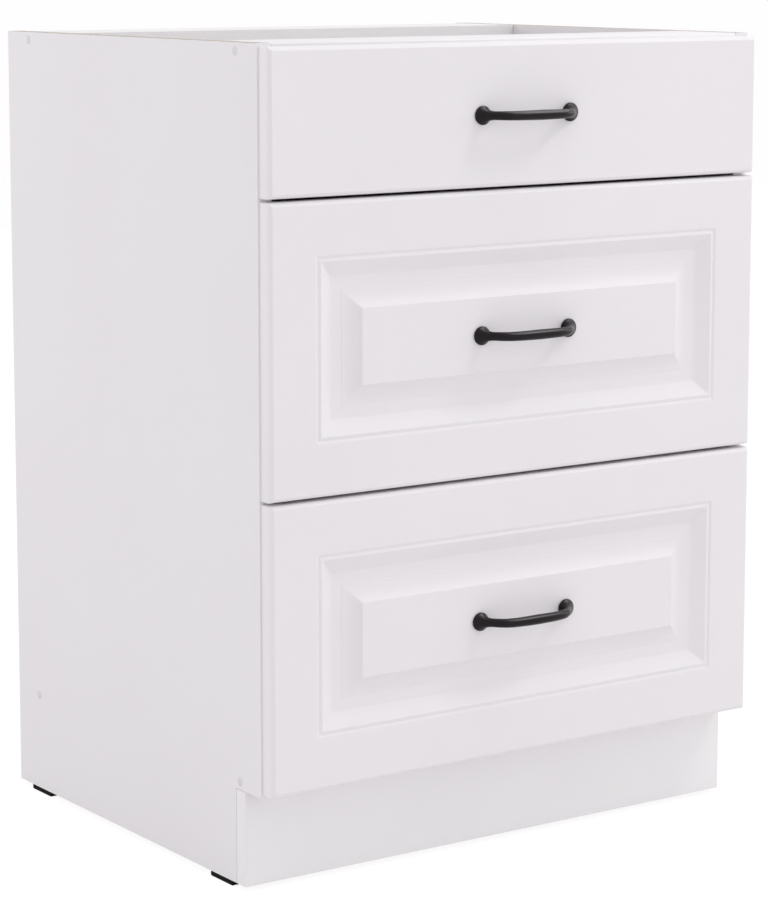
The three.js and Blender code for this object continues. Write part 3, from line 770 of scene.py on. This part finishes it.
def panel_profile():
    """The routed frame round the raised field, in millimetres from the edge of the front."""
    floor_start, floor_end, floor_depth, field_edge = 73.8, 85.5, 8.5, 104.1
    groove = [(48, 0), (51.4, 0), (51.8, 0.05), (52.3, 0.28), (53.3, 0.94), (53.8, 1.24),
              (54.2, 1.32)]
    bead = [(54.7, 1.2), (56.4, 0.42), (56.9, 0.24), (57.4, 0.18), (57.9, 0.28)]
    slope = [(58.5, 0.58), (60.5, 1.7), (66, 4.8), (71.4, 7.85), (72.2, 8.24), (73, 8.45),
             (floor_start, floor_depth)]
    quirk = [(floor_end - 1.5, floor_depth), (floor_end, floor_depth),
             (floor_end + 0.35, floor_depth - 0.32)]
    # The cove is a hollow arc that leaves the floor level and meets the field at a crest.
    start, depth = quirk[-1]
    run, rise = field_edge - start, depth - 0.12
    sweep = 2 * math.atan(rise / run)
    radius = run / math.sin(sweep)
    cove = []
    for i in range(1, COVE_STEPS + 1):
        angle = sweep * i / COVE_STEPS
        cove.append((start + radius * math.sin(angle), depth - radius * (1 - math.cos(angle))))
    crest = [(field_edge + 0.25, 0.02), (field_edge + 0.7, 0.0), (field_edge + 3, 0.0)]
    return [(i * MM, d * MM) for i, d in groove + bead + slope + quirk + cove + crest]


def rectangle_ring(low, high, inset, y):
    """A ring round a front, inset from its edges, with small rounded corners."""
    x0, x1 = low.x + inset + CORNER_RADIUS, high.x - inset - CORNER_RADIUS
    z0, z1 = low.z + inset + CORNER_RADIUS, high.z - inset - CORNER_RADIUS
    points = []
    for x, z, turn in ((x1, z1, 0), (x0, z1, 90), (x0, z0, 180), (x1, z0, 270)):
        for i in range(CORNER_STEPS + 1):
            angle = math.radians(turn + 90 * i / CORNER_STEPS)
            points.append((x + CORNER_RADIUS * math.cos(angle), y,
                           z + CORNER_RADIUS * math.sin(angle)))
    return points


def make_front(drawer):
    """A filmed fibreboard front, with a raised field unless it is the top one."""
    body = f"{drawer}_drawer"
    node = f"{body}_front"
    low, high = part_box(node)
    panel_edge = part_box("side_panel_left")[0].y
    profile = edge_profile(panel_edge - SEAM - low.y)
    if drawer != "top":
        profile += panel_profile()
    rings = [rectangle_ring(low, high, inset, low.y + depth) for inset, depth in profile]
    piece = skin_rings(f"{body}_routed_front", rings, FILM, LAMINATE, RAW_FIBRE)
    for polygon in piece.data.polygons:
        if polygon.normal.y > 0.9:
            polygon.material_index = 1
    base_low, base_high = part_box(f"{body}_base")
    groove_low = tuple(part - BASE_PLAY for part in base_low)
    groove_high = (base_high.x + BASE_PLAY, high.y + PROUD, base_high.z + BASE_PLAY)
    cut_away(piece, [block("base_groove", groove_low, groove_high, RAW_FIBRE)])
    smooth(piece, 13)
    return finish_piece(piece, body, "front_board", node)


for drawer in DRAWERS:
    make_front(drawer)


# ================================ handles ================================
def bow_point(t):
    """A point on the bow's centre line, t from 0 to 1: (along the handle, out from the face)."""
    side = -1 if t < 0.5 else 1
    s = 1 - abs(2 * t - 1)
    foot = Vector((BOW_HALF_SPAN, FOOT_RIM))
    leg = foot + Vector((-math.cos(LEG_LEAN), math.sin(LEG_LEAN))) * LEG_PULL
    crown = Vector((CROWN_PULL, BOW_RISE))
    middle = Vector((0.0, BOW_RISE))
    rest = 1 - s
    point = (foot * rest ** 3 + leg * (3 * s * rest ** 2) + crown * (3 * s * s * rest)
             + middle * s ** 3)
    return Vector((side * point.x, point.y))


def bow_stations():
    """Stations (length from the left foot, t) along the bow, closer together at the feet."""
    fine = 2000
    points = [bow_point(i / fine) for i in range(fine + 1)]
    lengths = [0.0]
    for first, second in zip(points, points[1:]):
        lengths.append(lengths[-1] + (second - first).length)
    total = lengths[-1]
    stations = []
    index = 0
    for i in range(BOW_STATIONS + 1):
        wanted = (0.5 - 0.5 * math.cos(math.pi * i / BOW_STATIONS)) * total
        while index < fine and lengths[index] < wanted:
            index += 1
        stations.append((wanted, index / fine))
    return stations, total


def bar_radius(distance, half):
    """Radius of the bow at a distance from its nearer foot: a trumpet that runs out in the bar."""
    bar = NECK_RADIUS + (BAR_RADIUS - NECK_RADIUS) * min(1.0, distance / half)
    flare = max(0.0, 1 - distance / TRUMPET_LENGTH)
    return bar + (TRUMPET_RADIUS - bar) * flare ** TRUMPET_POWER


def bow_ring(t, radius, turn, face, height):
    """A ring round the bow; turn 0 lays it flat on the foot, turn 1 sets it square to the bow."""
    step = 0.001
    ahead, behind = bow_point(min(1, t + step)), bow_point(max(0, t - step))
    along = (ahead - behind).normalized()
    square = Vector((along.y, -along.x))
    flat = Vector((1.0 if t < 0.5 else -1.0, 0.0))
    across = flat.lerp(square, turn).normalized()
    centre = bow_point(t)
    ring = []
    for angle in round_angles(BOW_SIDES):
        place = centre + across * (radius * math.cos(angle))
        ring.append((place.x, face - place.y, height + radius * math.sin(angle)))
    return ring


def foot_rings(side, face, height):
    """The straight rim of a foot, from the face outwards, with eased edges."""
    rim = ((0.0, 0.35), (0.2, 0.08), (0.45, 0.0), (1.55, 0.0), (1.85, 0.15), (2.0, 0.45))
    rings = []
    for out, shrink in rim:
        radius = ROSETTE_RADIUS - shrink * MM
        rings.append([
            (side * (BOW_HALF_SPAN - radius * math.cos(angle)), face - out * MM,
             height + radius * math.sin(angle))
            for angle in round_angles(BOW_SIDES)
        ])
    return rings


def make_handle(drawer):
    """A bow of bent bar in one skin with its flared feet."""
    body = f"{drawer}_drawer"
    node = f"{body}_handle"
    low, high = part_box(node)
    face, height = high.y, (low.z + high.z) / 2
    stations, total = bow_stations()
    bow = []
    for wanted, t in stations[1:-1]:
        distance = min(wanted, total - wanted)
        turn = min(1.0, distance / TRUMPET_LENGTH)
        bow.append(bow_ring(t, bar_radius(distance, total / 2), turn, face, height))
    rings = foot_rings(-1, face, height) + bow + foot_rings(1, face, height)[::-1]
    piece = skin_rings(f"{body}_bow_handle", rings, SATIN_BLACK)
    smooth(piece, 28)
    return finish_piece(piece, body, "black_metal", node)


for drawer in DRAWERS:
    make_handle(drawer)


# ================================ repeats by Geometry Nodes ================================
def socket_id(tree, label):
    """The identifier by which a modifier's input is set."""
    return next(item.identifier for item in tree.interface.items_tree
                if item.item_type == "SOCKET" and item.in_out == "INPUT" and item.name == label)


def new_geometry_tree(name, inputs):
    """An empty geometry tree with named inputs, and its two end nodes."""
    tree = bpy.data.node_groups.new(name, "GeometryNodeTree")
    tree.interface.new_socket("Geometry", in_out="INPUT", socket_type="NodeSocketGeometry")
    for label, kind, value in inputs:
        socket = tree.interface.new_socket(label, in_out="INPUT", socket_type=kind)
        if value is not None:
            socket.default_value = value
    tree.interface.new_socket("Geometry", in_out="OUTPUT", socket_type="NodeSocketGeometry")
    return tree, tree.nodes.new("NodeGroupInput"), tree.nodes.new("NodeGroupOutput")


def wire(tree, joints):
    """Links nodes; a joint is (node, its output, node, its input)."""
    for source, output, target, entry in joints:
        tree.links.new(source.outputs[output], target.inputs[entry])


def make_fasteners_tree():
    """One fitting on every point, faced along the point's own direction and turned at random."""
    tree, start, end = new_geometry_tree("fittings_on_points", [
        ("Fitting", "NodeSocketObject", None),
        ("Size", "NodeSocketFloat", 1.0),
        ("Turn Seed", "NodeSocketInt", 1),
        ("Finish", "NodeSocketMaterial", None),
    ])
    nodes = tree.nodes
    points = nodes.new("GeometryNodeMeshToPoints")
    fitting = nodes.new("GeometryNodeObjectInfo")
    facing = nodes.new("GeometryNodeInputNamedAttribute")
    facing.data_type = "FLOAT_VECTOR"
    facing.inputs["Name"].default_value = "facing"
    aim = nodes.new("FunctionNodeAlignRotationToVector")
    aim.axis = "Z"
    turn = nodes.new("FunctionNodeRandomValue")
    turn.data_type = "FLOAT"
    spin = nodes.new("ShaderNodeCombineXYZ")
    rotate = nodes.new("FunctionNodeRotateRotation")
    rotate.rotation_space = "LOCAL"
    put = nodes.new("GeometryNodeInstanceOnPoints")
    realize = nodes.new("GeometryNodeRealizeInstances")
    paint = nodes.new("GeometryNodeSetMaterial")
    highest = next(s for s in turn.inputs if s.name == "Max" and s.type == "VALUE")
    highest.default_value = math.pi
    attribute = next(s for s in facing.outputs if s.name == "Attribute" and s.enabled)
    tree.links.new(attribute, aim.inputs["Vector"])
    value = next(s for s in turn.outputs if s.type == "VALUE" and s.enabled)
    tree.links.new(value, spin.inputs["Z"])
    wire(tree, (
        (start, "Geometry", points, "Mesh"),
        (start, "Fitting", fitting, "Object"),
        (start, "Turn Seed", turn, "Seed"),
        (aim, "Rotation", rotate, "Rotation"),
        (spin, "Vector", rotate, "Rotate By"),
        (points, "Points", put, "Points"),
        (fitting, "Geometry", put, "Instance"),
        (rotate, "Rotation", put, "Rotation"),
        (start, "Size", put, "Scale"),
        (put, "Instances", realize, "Geometry"),
        (realize, "Geometry", paint, "Geometry"),
        (start, "Finish", paint, "Material"),
        (paint, "Geometry", end, "Geometry"),
    ))
    return tree


def make_hole_row_tree():
    """A row of round holes through a steel section, along the drawer's travel."""
    tree, start, end = new_geometry_tree("row_of_holes", [
        ("First", "NodeSocketVector", (0.0, 0.0, 0.0)),
        ("Step", "NodeSocketVector", (0.0, HOLE_PITCH, 0.0)),
        ("Count", "NodeSocketInt", HOLE_COUNT),
        ("Radius", "NodeSocketFloat", HOLE_RADIUS),
        ("Reach", "NodeSocketFloat", HOLE_REACH),
        ("Finish", "NodeSocketMaterial", None),
    ])
    nodes = tree.nodes
    row = nodes.new("GeometryNodeMeshLine")
    row.mode = "OFFSET"
    drill = nodes.new("GeometryNodeMeshCylinder")
    drill.inputs["Vertices"].default_value = 20
    put = nodes.new("GeometryNodeInstanceOnPoints")
    put.inputs["Rotation"].default_value = (0.0, math.pi / 2, 0.0)
    realize = nodes.new("GeometryNodeRealizeInstances")
    cut = nodes.new("GeometryNodeMeshBoolean")
    cut.operation = "DIFFERENCE"
    paint = nodes.new("GeometryNodeSetMaterial")
    wire(tree, (
        (start, "Count", row, "Count"),
        (start, "First", row, "Start Location"),
        (start, "Step", row, "Offset"),
        (start, "Radius", drill, "Radius"),
        (start, "Reach", drill, "Depth"),
        (row, "Mesh", put, "Points"),
        (drill, "Mesh", put, "Instance"),
        (put, "Instances", realize, "Geometry"),
        (start, "Geometry", cut, "Mesh 1"),
        (realize, "Geometry", cut, "Mesh 2"),
        (cut, "Mesh", paint, "Geometry"),
        (start, "Finish", paint, "Material"),
        (paint, "Geometry", end, "Geometry"),
    ))
    return tree


FASTENERS = make_fasteners_tree()
HOLE_ROW = make_hole_row_tree()


def add_tree(piece, tree, **values):
    """Adds a geometry tree to a piece and sets its inputs."""
    modifier = piece.modifiers.new(tree.name, "NODES")
    modifier.node_group = tree
    for label, value in values.items():
        modifier[socket_id(tree, label.replace("_", " "))] = value
    return piece


def screw_head(name, radius, height, recess):
    """A cross-recessed head on a short shank, its seat at the origin and its top along +Z."""
    shank, length = radius * 0.42, 3 * MM
    profile = [(-length, 0), (-length, shank), (0, shank), (0, radius * 0.97),
               (height * 0.18, radius), (height * 0.5, radius * 0.93),
               (height * 0.78, radius * 0.76), (height * 0.95, radius * 0.5),
               (height, radius * 0.3), (height, 0)]
    head = turned(name, profile, 24, (0, 0, 0), (0, 0, 1), ZINC)
    cross = cross_stamp(radius * 0.55, radius * 0.13, height - recess, height + PROUD, ZINC)
    cut_away(head, cross)
    return smooth(head, 32)


def put_fasteners(name, body, slot, places, fitting, seed, finish=ZINC):
    """One piece of many fittings; places is a list of (point, direction the fitting faces)."""
    mesh = bpy.data.meshes.new(name)
    mesh.from_pydata([tuple(point) for point, _ in places], [], [])
    facing = mesh.attributes.new("facing", "FLOAT_VECTOR", "POINT")
    for item, (_, direction) in zip(facing.data, places):
        item.vector = direction
    piece = mesh_object(name, mesh, finish)
    add_tree(piece, FASTENERS, Fitting=fitting, Size=1.0, Turn_Seed=seed, Finish=finish)
    settle(piece)
    if "facing" in piece.data.attributes:
        piece.data.attributes.remove(piece.data.attributes["facing"])
    return finish_piece(piece, body, slot)


# ================================ runners and rollers ================================
def finish_runner(node, body, web, foot, first_hole):
    """A runner of coated steel with a row of holes along its web.

    web is x of the web's middle, foot the height that the holes are measured from, and
    first_hole the first one's distance from the runner's front end and from the foot.
    """
    start, height = first_hole
    first = (web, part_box(node)[0].y + start, foot + height)
    piece = from_bmesh(f"{node}_steel", solid_of(node), RUNNER_COAT)
    add_tree(piece, HOLE_ROW, First=first, Step=(0.0, HOLE_PITCH, 0.0), Count=HOLE_COUNT,
             Radius=HOLE_RADIUS, Reach=HOLE_REACH, Finish=RUNNER_COAT)
    settle(piece)
    ease_edges(piece, 0.22 * MM)
    smooth(piece, 25)
    return finish_piece(piece, body, "runner_steel", node)


def make_roller(node, outward):
    """A moulded roller with a rounded tread, a hub and a shallow dish on its outer face."""
    low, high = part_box(node)
    centre_y, centre_z = (low.y + high.y) / 2, (low.z + high.z) / 2
    width, radius = high.x - low.x, (high.z - low.z) / 2
    inner = low.x if outward > 0 else high.x
    tread = [(0.0, radius - 1.0 * MM), (0.25 * MM, radius - 0.35 * MM), (0.8 * MM, radius),
             (width - 0.8 * MM, radius), (width - 0.25 * MM, radius - 0.35 * MM),
             (width, radius - 1.0 * MM), (width, radius - 1.6 * MM)]
    dish = [(width - 0.7 * MM, radius - 2.0 * MM), (width - 0.7 * MM, ROLLER_HUB + 0.4 * MM),
            (width - 0.1 * MM, ROLLER_HUB), (width - 0.1 * MM, ROLLER_BORE)]
    bore_edge = [(0.0, ROLLER_BORE)]
    rings = []
    for along, ring_radius in bore_edge + tread + dish + bore_edge:
        rings.append([
            (inner + outward * along, centre_y + ring_radius * math.cos(angle),
             centre_z + ring_radius * math.sin(angle))
            for angle in round_angles(ROLLER_SIDES)
        ])
    piece = skin_rings(f"{node}_wheel", rings, NYLON, closed_ends=False)
    shape = bmesh.new()
    shape.from_mesh(piece.data)
    bmesh.ops.remove_doubles(shape, verts=shape.verts, dist=WELD)
    bmesh.ops.recalc_face_normals(shape, faces=shape.faces)
    shape.to_mesh(piece.data)
    shape.free()
    smooth(piece, 30)
    return finish_piece(piece, node, "nylon", node)


def cam_disc(name):
    """A cam: a cast disc with a cross and a line pressed into its face, sunk in its pocket."""
    bottom, ease, face = -CAM_DEPTH + 0.5 * MM, 0.3 * MM, -0.25 * MM
    profile = [(bottom, 0), (bottom, CAM_RADIUS), (-0.5 * MM, CAM_RADIUS),
               (face, CAM_RADIUS - ease), (face, 0)]
    disc = turned(name, profile, 48, (0, 0, 0), (0, 0, 1), CAM_METAL)
    mark_low, mark_high = (4.5 * MM, -0.3 * MM, -0.6 * MM), (6.6 * MM, 0.3 * MM, PROUD)
    cross = cross_stamp(3.6 * MM, 0.65 * MM, -2.2 * MM, PROUD, CAM_METAL)
    cut_away(disc, cross + [block("mark", mark_low, mark_high, CAM_METAL)])
    return smooth(disc, 32)


CAM = cam_disc("cam")
PAN_HEAD = screw_head("pan_head", 3.6 * MM, 2.1 * MM, 1.4 * MM)
HANDLE_HEAD = screw_head("handle_head", 4.2 * MM, 2.6 * MM, 1.7 * MM)
FLUSH_HEAD = screw_head("flush_head", 3.4 * MM, 0.5 * MM, 0.45 * MM)

WEB_MIDDLE = RUNNER_GAP + RUNNER_STEEL / 2
for drawer in DRAWERS:
    body = f"{drawer}_drawer"
    for side_name, side in SIDES:
        board = f"{body}_side_{side_name}"
        web = outer_face(board, side) + side * WEB_MIDDLE
        finish_runner(f"{body}_runner_{side_name}", body, web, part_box(board)[0].z, DRAWER_HOLES)
        node = f"cabinet_runner_{drawer}_{side_name}"
        web = inner_face(f"side_panel_{side_name}", side) - side * WEB_MIDDLE
        finish_runner(node, "carcass", web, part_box(node)[0].z, CABINET_HOLES)
        make_roller(f"{body}_roller_{side_name}", side)
        make_roller(f"cabinet_roller_{drawer}_{side_name}", -side)


# ================================ glides, screws and caps ================================
for side_name, side in SIDES:
    for end in ("front", "rear"):
        node = f"floor_glide_{end}_{side_name}"
        piece = from_bmesh(f"{node}_foot", solid_of(node), BLACK_PLASTIC)
        ease_edges(piece, 0.4 * MM, 3)
        finish_piece(piece, "carcass", "glide_plastic", node)
    node = f"plinth_bracket_{side_name}"
    piece = from_bmesh(f"{node}_angle", solid_of(node), ZINC)
    ease_edges(piece, 0.35 * MM, 3)
    smooth(piece, 25)
    finish_piece(piece, "carcass", "zinc_steel", node)


def make_cap_screw(name, face, side, y, z, *nodes):
    """A connecting screw and the domed cap pressed into its bore, level with the side panel."""
    r = CAP_RADIUS
    stem, cap_end = 0.94 * r, 3.6 * MM
    dome = [(-CAP_DOME, 0), (-CAP_DOME, 0.3 * r), (-CAP_DOME * 0.85, 0.62 * r),
            (-CAP_DOME * 0.4, 0.88 * r)]
    cap = [(0.05 * MM, r), (0.5 * MM, r), (0.7 * MM, stem), (cap_end, stem)]
    screw = [(cap_end, SCREW_RADIUS), (SCREW_LENGTH - 1.5 * MM, SCREW_RADIUS),
             (SCREW_LENGTH, 1.2 * MM), (SCREW_LENGTH, 0)]
    piece = turned(name, dome + cap + screw, 40, (face, y, z), (-side, 0, 0), GREY_CAP, ZINC)
    for polygon in piece.data.polygons:
        if abs(polygon.center.x - face) > cap_end - 0.1 * MM:
            polygon.material_index = 1
    smooth(piece, 30)
    return finish_piece(piece, "carcass", "screw_cap", *nodes)


for side_name, side in SIDES:
    face = outer_face(f"side_panel_{side_name}", side)
    for end in ("front", "rear"):
        node = f"corner_screw_{end}_{side_name}"
        y, z = screw_place(end, side_name)
        make_cap_screw(f"upper_cap_{end}_{side_name}", face, side, y, z, node)
        make_cap_screw(f"lower_cap_{end}_{side_name}", face, side, y, LOW_SCREW_HEIGHT)


# Each of these four lists the (point, direction) of the screws in one place.
def cabinet_runner_screws():
    places = []
    for drawer in DRAWERS:
        for side_name, side in SIDES:
            low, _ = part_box(f"cabinet_runner_{drawer}_{side_name}")
            inner = inner_face(f"side_panel_{side_name}", side)
            web = inner - side * (RUNNER_GAP + RUNNER_STEEL)
            for along in CABINET_RUNNER_SCREWS:
                places.append(((web, low.y + along, low.z + CABINET_HOLES[1]), (-side, 0, 0)))
    return places


def bracket_screws():
    places = []
    for side_name, _ in SIDES:
        low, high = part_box(f"plinth_bracket_{side_name}")
        middle = (low.x + high.x) / 2
        upright, level = low.y + BRACKET_STEEL, high.z - BRACKET_STEEL
        for across in (-BRACKET_SCREW_SPREAD, BRACKET_SCREW_SPREAD):
            x = middle + across
            places.append(((x, upright, low.z + BRACKET_SCREW_HEIGHT), (0, 1, 0)))
            places.append(((x, low.y + BRACKET_SCREW_DEPTH, level), (0, 0, -1)))
    return places


def handle_screws(body):
    low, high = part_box(f"{body}_handle")
    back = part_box(f"{body}_front")[1].y
    return [((side * BOW_HALF_SPAN, back, (low.z + high.z) / 2), (0, 1, 0)) for _, side in SIDES]


def box_screws(body):
    back_low, back_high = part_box(f"{body}_back")
    back_middle = (back_low.y + back_high.y) / 2
    shares = (0.55,) if body == "top_drawer" else (0.3, 0.78)
    places = []
    for side_name, side in SIDES:
        board = f"{body}_side_{side_name}"
        low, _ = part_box(board)
        outer = outer_face(board, side)
        for share in shares:
            z = back_low.z + share * (back_high.z - back_low.z)
            places.append(((outer, back_middle, z), (side, 0, 0)))
        inward = outer - side * DRAWER_RUNNER_SCREW_INSET
        under = low.z - RUNNER_GAP - RUNNER_STEEL
        for along in DRAWER_RUNNER_SCREWS:
            places.append(((inward, low.y + along, under), (0, 0, -1)))
    return places


put_fasteners("runner_and_angle_screws", "carcass", "zinc_steel",
              cabinet_runner_screws() + bracket_screws(), PAN_HEAD, seed=7)
for drawer in DRAWERS:
    body = f"{drawer}_drawer"
    put_fasteners(f"{body}_handle_screws", body, "zinc_steel", handle_screws(body), HANDLE_HEAD,
                  seed=3)
    put_fasteners(f"{body}_box_screws", body, "zinc_steel", box_screws(body), FLUSH_HEAD, seed=11)
    cams = [place for side_name, side in SIDES for place in cam_places(drawer, side_name, side)]
    put_fasteners(f"{body}_cams", body, "zinc_steel", cams, CAM, seed=5, finish=CAM_METAL)

for fitting in (CAM, PAN_HEAD, HANDLE_HEAD, FLUSH_HEAD):
    bpy.data.objects.remove(fitting)


# ================================ camera, light and ground ================================
# The camera that was fitted to the photo.
CAMERA_PLACE = (-1.7551, -2.5226, 0.9033)
CAMERA_YAW = math.radians(34.77)     # from straight at the wall to the right
CAMERA_TILT = math.radians(8.16)     # downwards
CAMERA_SHIFT = -0.1
FOCAL_LENGTH = 114.78                # in millimetres, as is the sensor's width
SENSOR_WIDTH = 36

SOFTBOXES = (                        # name, place, target, width in metres, power in watts
    ("overhead_softbox", (0.3, -0.4, 3.4), (0, 0, 0.4), 1.4, 10),
    ("upper_right_softbox", (1.85, -1.55, 3.05), (0, 0, 0.4), 0.8, 18.5),
    ("right_softbox", (4.9, -1.3, 1.8), (0, 0, 0.45), 2.2, 33),
    ("left_softbox", (-3.0, 1.8, 1.4), (0, 0, 0.4), 1.8, 16.5),
    ("front_softbox", (-0.2, -4.2, 0.7), (0, 0, 0.2), 1.8, 7),
)
CEILING_PANEL = ("ceiling_panel", (1.4, -0.8, 2.4), (1.4, -0.8, 0.0), 2.4, 80)

# Colours of the light and the floor, a shade pink as in the photo.
SEEN_WHITE = (1.0, 0.991, 1.0, 1.0)
SOFT_WHITE = (1.0, 0.993, 1.0, 1.0)
FLOOR_TONE = (0.78, 0.77, 0.78, 1.0)
SHADOW_TONE = (0.14, 0.139, 0.14, 1.0)

# Levels, of which 1 is white.
SOFT_LEVEL = 0.81                    # the world's light on the cabinet
SEEN_LEVEL = 1.0                     # the background as it is seen
BOUNCE_LEVEL = 0.08                  # what the floor gives back beyond its own tone
GLOW_LEVEL = 0.92                    # the floor as it is seen, with the shadow on top

FLOOR_REACH = 6                      # metres from the middle
FLOOR_THICKNESS = 0.02


def make_camera():
    data = bpy.data.cameras.new("camera")
    data.lens = FOCAL_LENGTH
    data.sensor_width = SENSOR_WIDTH
    data.shift_y = CAMERA_SHIFT
    camera = bpy.data.objects.new("camera", data)
    level = math.cos(CAMERA_TILT)
    look = Vector((math.sin(CAMERA_YAW) * level, math.cos(CAMERA_YAW) * level,
                   -math.sin(CAMERA_TILT)))
    camera.location = CAMERA_PLACE
    camera.rotation_euler = look.to_track_quat("-Z", "Y").to_euler()
    bpy.context.scene.collection.objects.link(camera)
    bpy.context.scene.camera = camera


def make_lamp(name, place, target, size, power):
    """A square softbox that faces its target."""
    data = bpy.data.lights.new(name, "AREA")
    data.shape = "SQUARE"
    data.size = size
    data.energy = power
    lamp = bpy.data.objects.new(name, data)
    lamp.location = place
    lamp.rotation_euler = (Vector(target) - Vector(place)).to_track_quat("-Z", "Y").to_euler()
    bpy.context.scene.collection.objects.link(lamp)
    return lamp


def make_ceiling_panel():
    """A wide panel overhead that lies as a soft highlight along the satin handles alone."""
    panel = make_lamp(*CEILING_PANEL)
    panel.visible_camera = False
    handles = bpy.data.collections.new("satin_handles")
    for drawer in DRAWERS:
        handles.objects.link(bpy.data.objects[f"{drawer}_drawer_bow_handle"])
    panel.light_linking.receiver_collection = handles


def light_node(tree, kind, colour, strength=None):
    """A background, an emission or a plain matt surface."""
    node = tree.nodes.new(kind)
    node.inputs["Color"].default_value = colour
    if strength is not None:
        node.inputs["Strength"].default_value = strength
    return node.outputs[0]


def join_shaders(tree, kind, *parts):
    """Adds or mixes shaders; a mix takes its factor first."""
    node = tree.nodes.new(kind)
    for part, socket in zip(parts, node.inputs):
        tree.links.new(part, socket)
    return node.outputs[0]


def background_seen(tree):
    """1 for the rays that see the white background, and 0 for those that only gather light."""
    rays = tree.nodes.new("ShaderNodeLightPath")
    mirrored = maths(tree, "MAXIMUM", rays.outputs["Is Glossy Ray"],
                     rays.outputs["Is Transmission Ray"])
    return maths(tree, "MAXIMUM", rays.outputs["Is Camera Ray"], mirrored)


def make_world():
    """White to the camera and in gloss, a soft even light on everything else."""
    world = bpy.data.worlds.new("studio")
    bpy.context.scene.world = world
    world.use_nodes = True
    tree = world.node_tree
    tree.nodes.clear()
    soft = light_node(tree, "ShaderNodeBackground", SOFT_WHITE, SOFT_LEVEL)
    white = light_node(tree, "ShaderNodeBackground", SEEN_WHITE, SEEN_LEVEL)
    both = join_shaders(tree, "ShaderNodeMixShader", background_seen(tree), soft, white)
    out = tree.nodes.new("ShaderNodeOutputWorld")
    tree.links.new(both, out.inputs["Surface"])


def make_floor():
    """A plain pale floor: white to the camera but for the cabinet's soft shadow."""
    floor = block("floor", (-FLOOR_REACH, -FLOOR_REACH, -FLOOR_THICKNESS),
                  (FLOOR_REACH, FLOOR_REACH, 0.0))
    material = bpy.data.materials.new("studio_floor")
    material.use_nodes = True
    tree = material.node_tree
    tree.nodes.clear()
    plain = light_node(tree, "ShaderNodeBsdfDiffuse", FLOOR_TONE)
    bounce = light_node(tree, "ShaderNodeEmission", (1.0, 1.0, 1.0, 1.0), BOUNCE_LEVEL)
    lit = join_shaders(tree, "ShaderNodeAddShader", plain, bounce)
    glow = light_node(tree, "ShaderNodeEmission", SEEN_WHITE, GLOW_LEVEL)
    faint = light_node(tree, "ShaderNodeBsdfDiffuse", SHADOW_TONE)
    shown = join_shaders(tree, "ShaderNodeAddShader", glow, faint)
    both = join_shaders(tree, "ShaderNodeMixShader", background_seen(tree), lit, shown)
    out = tree.nodes.new("ShaderNodeOutputMaterial")
    tree.links.new(both, out.inputs["Surface"])
    floor.data.materials.append(material)


make_camera()
make_world()
make_floor()
for softbox in SOFTBOXES:
    make_lamp(*softbox)
make_ceiling_panel()

bpy.context.scene.view_settings.view_transform = "Standard"
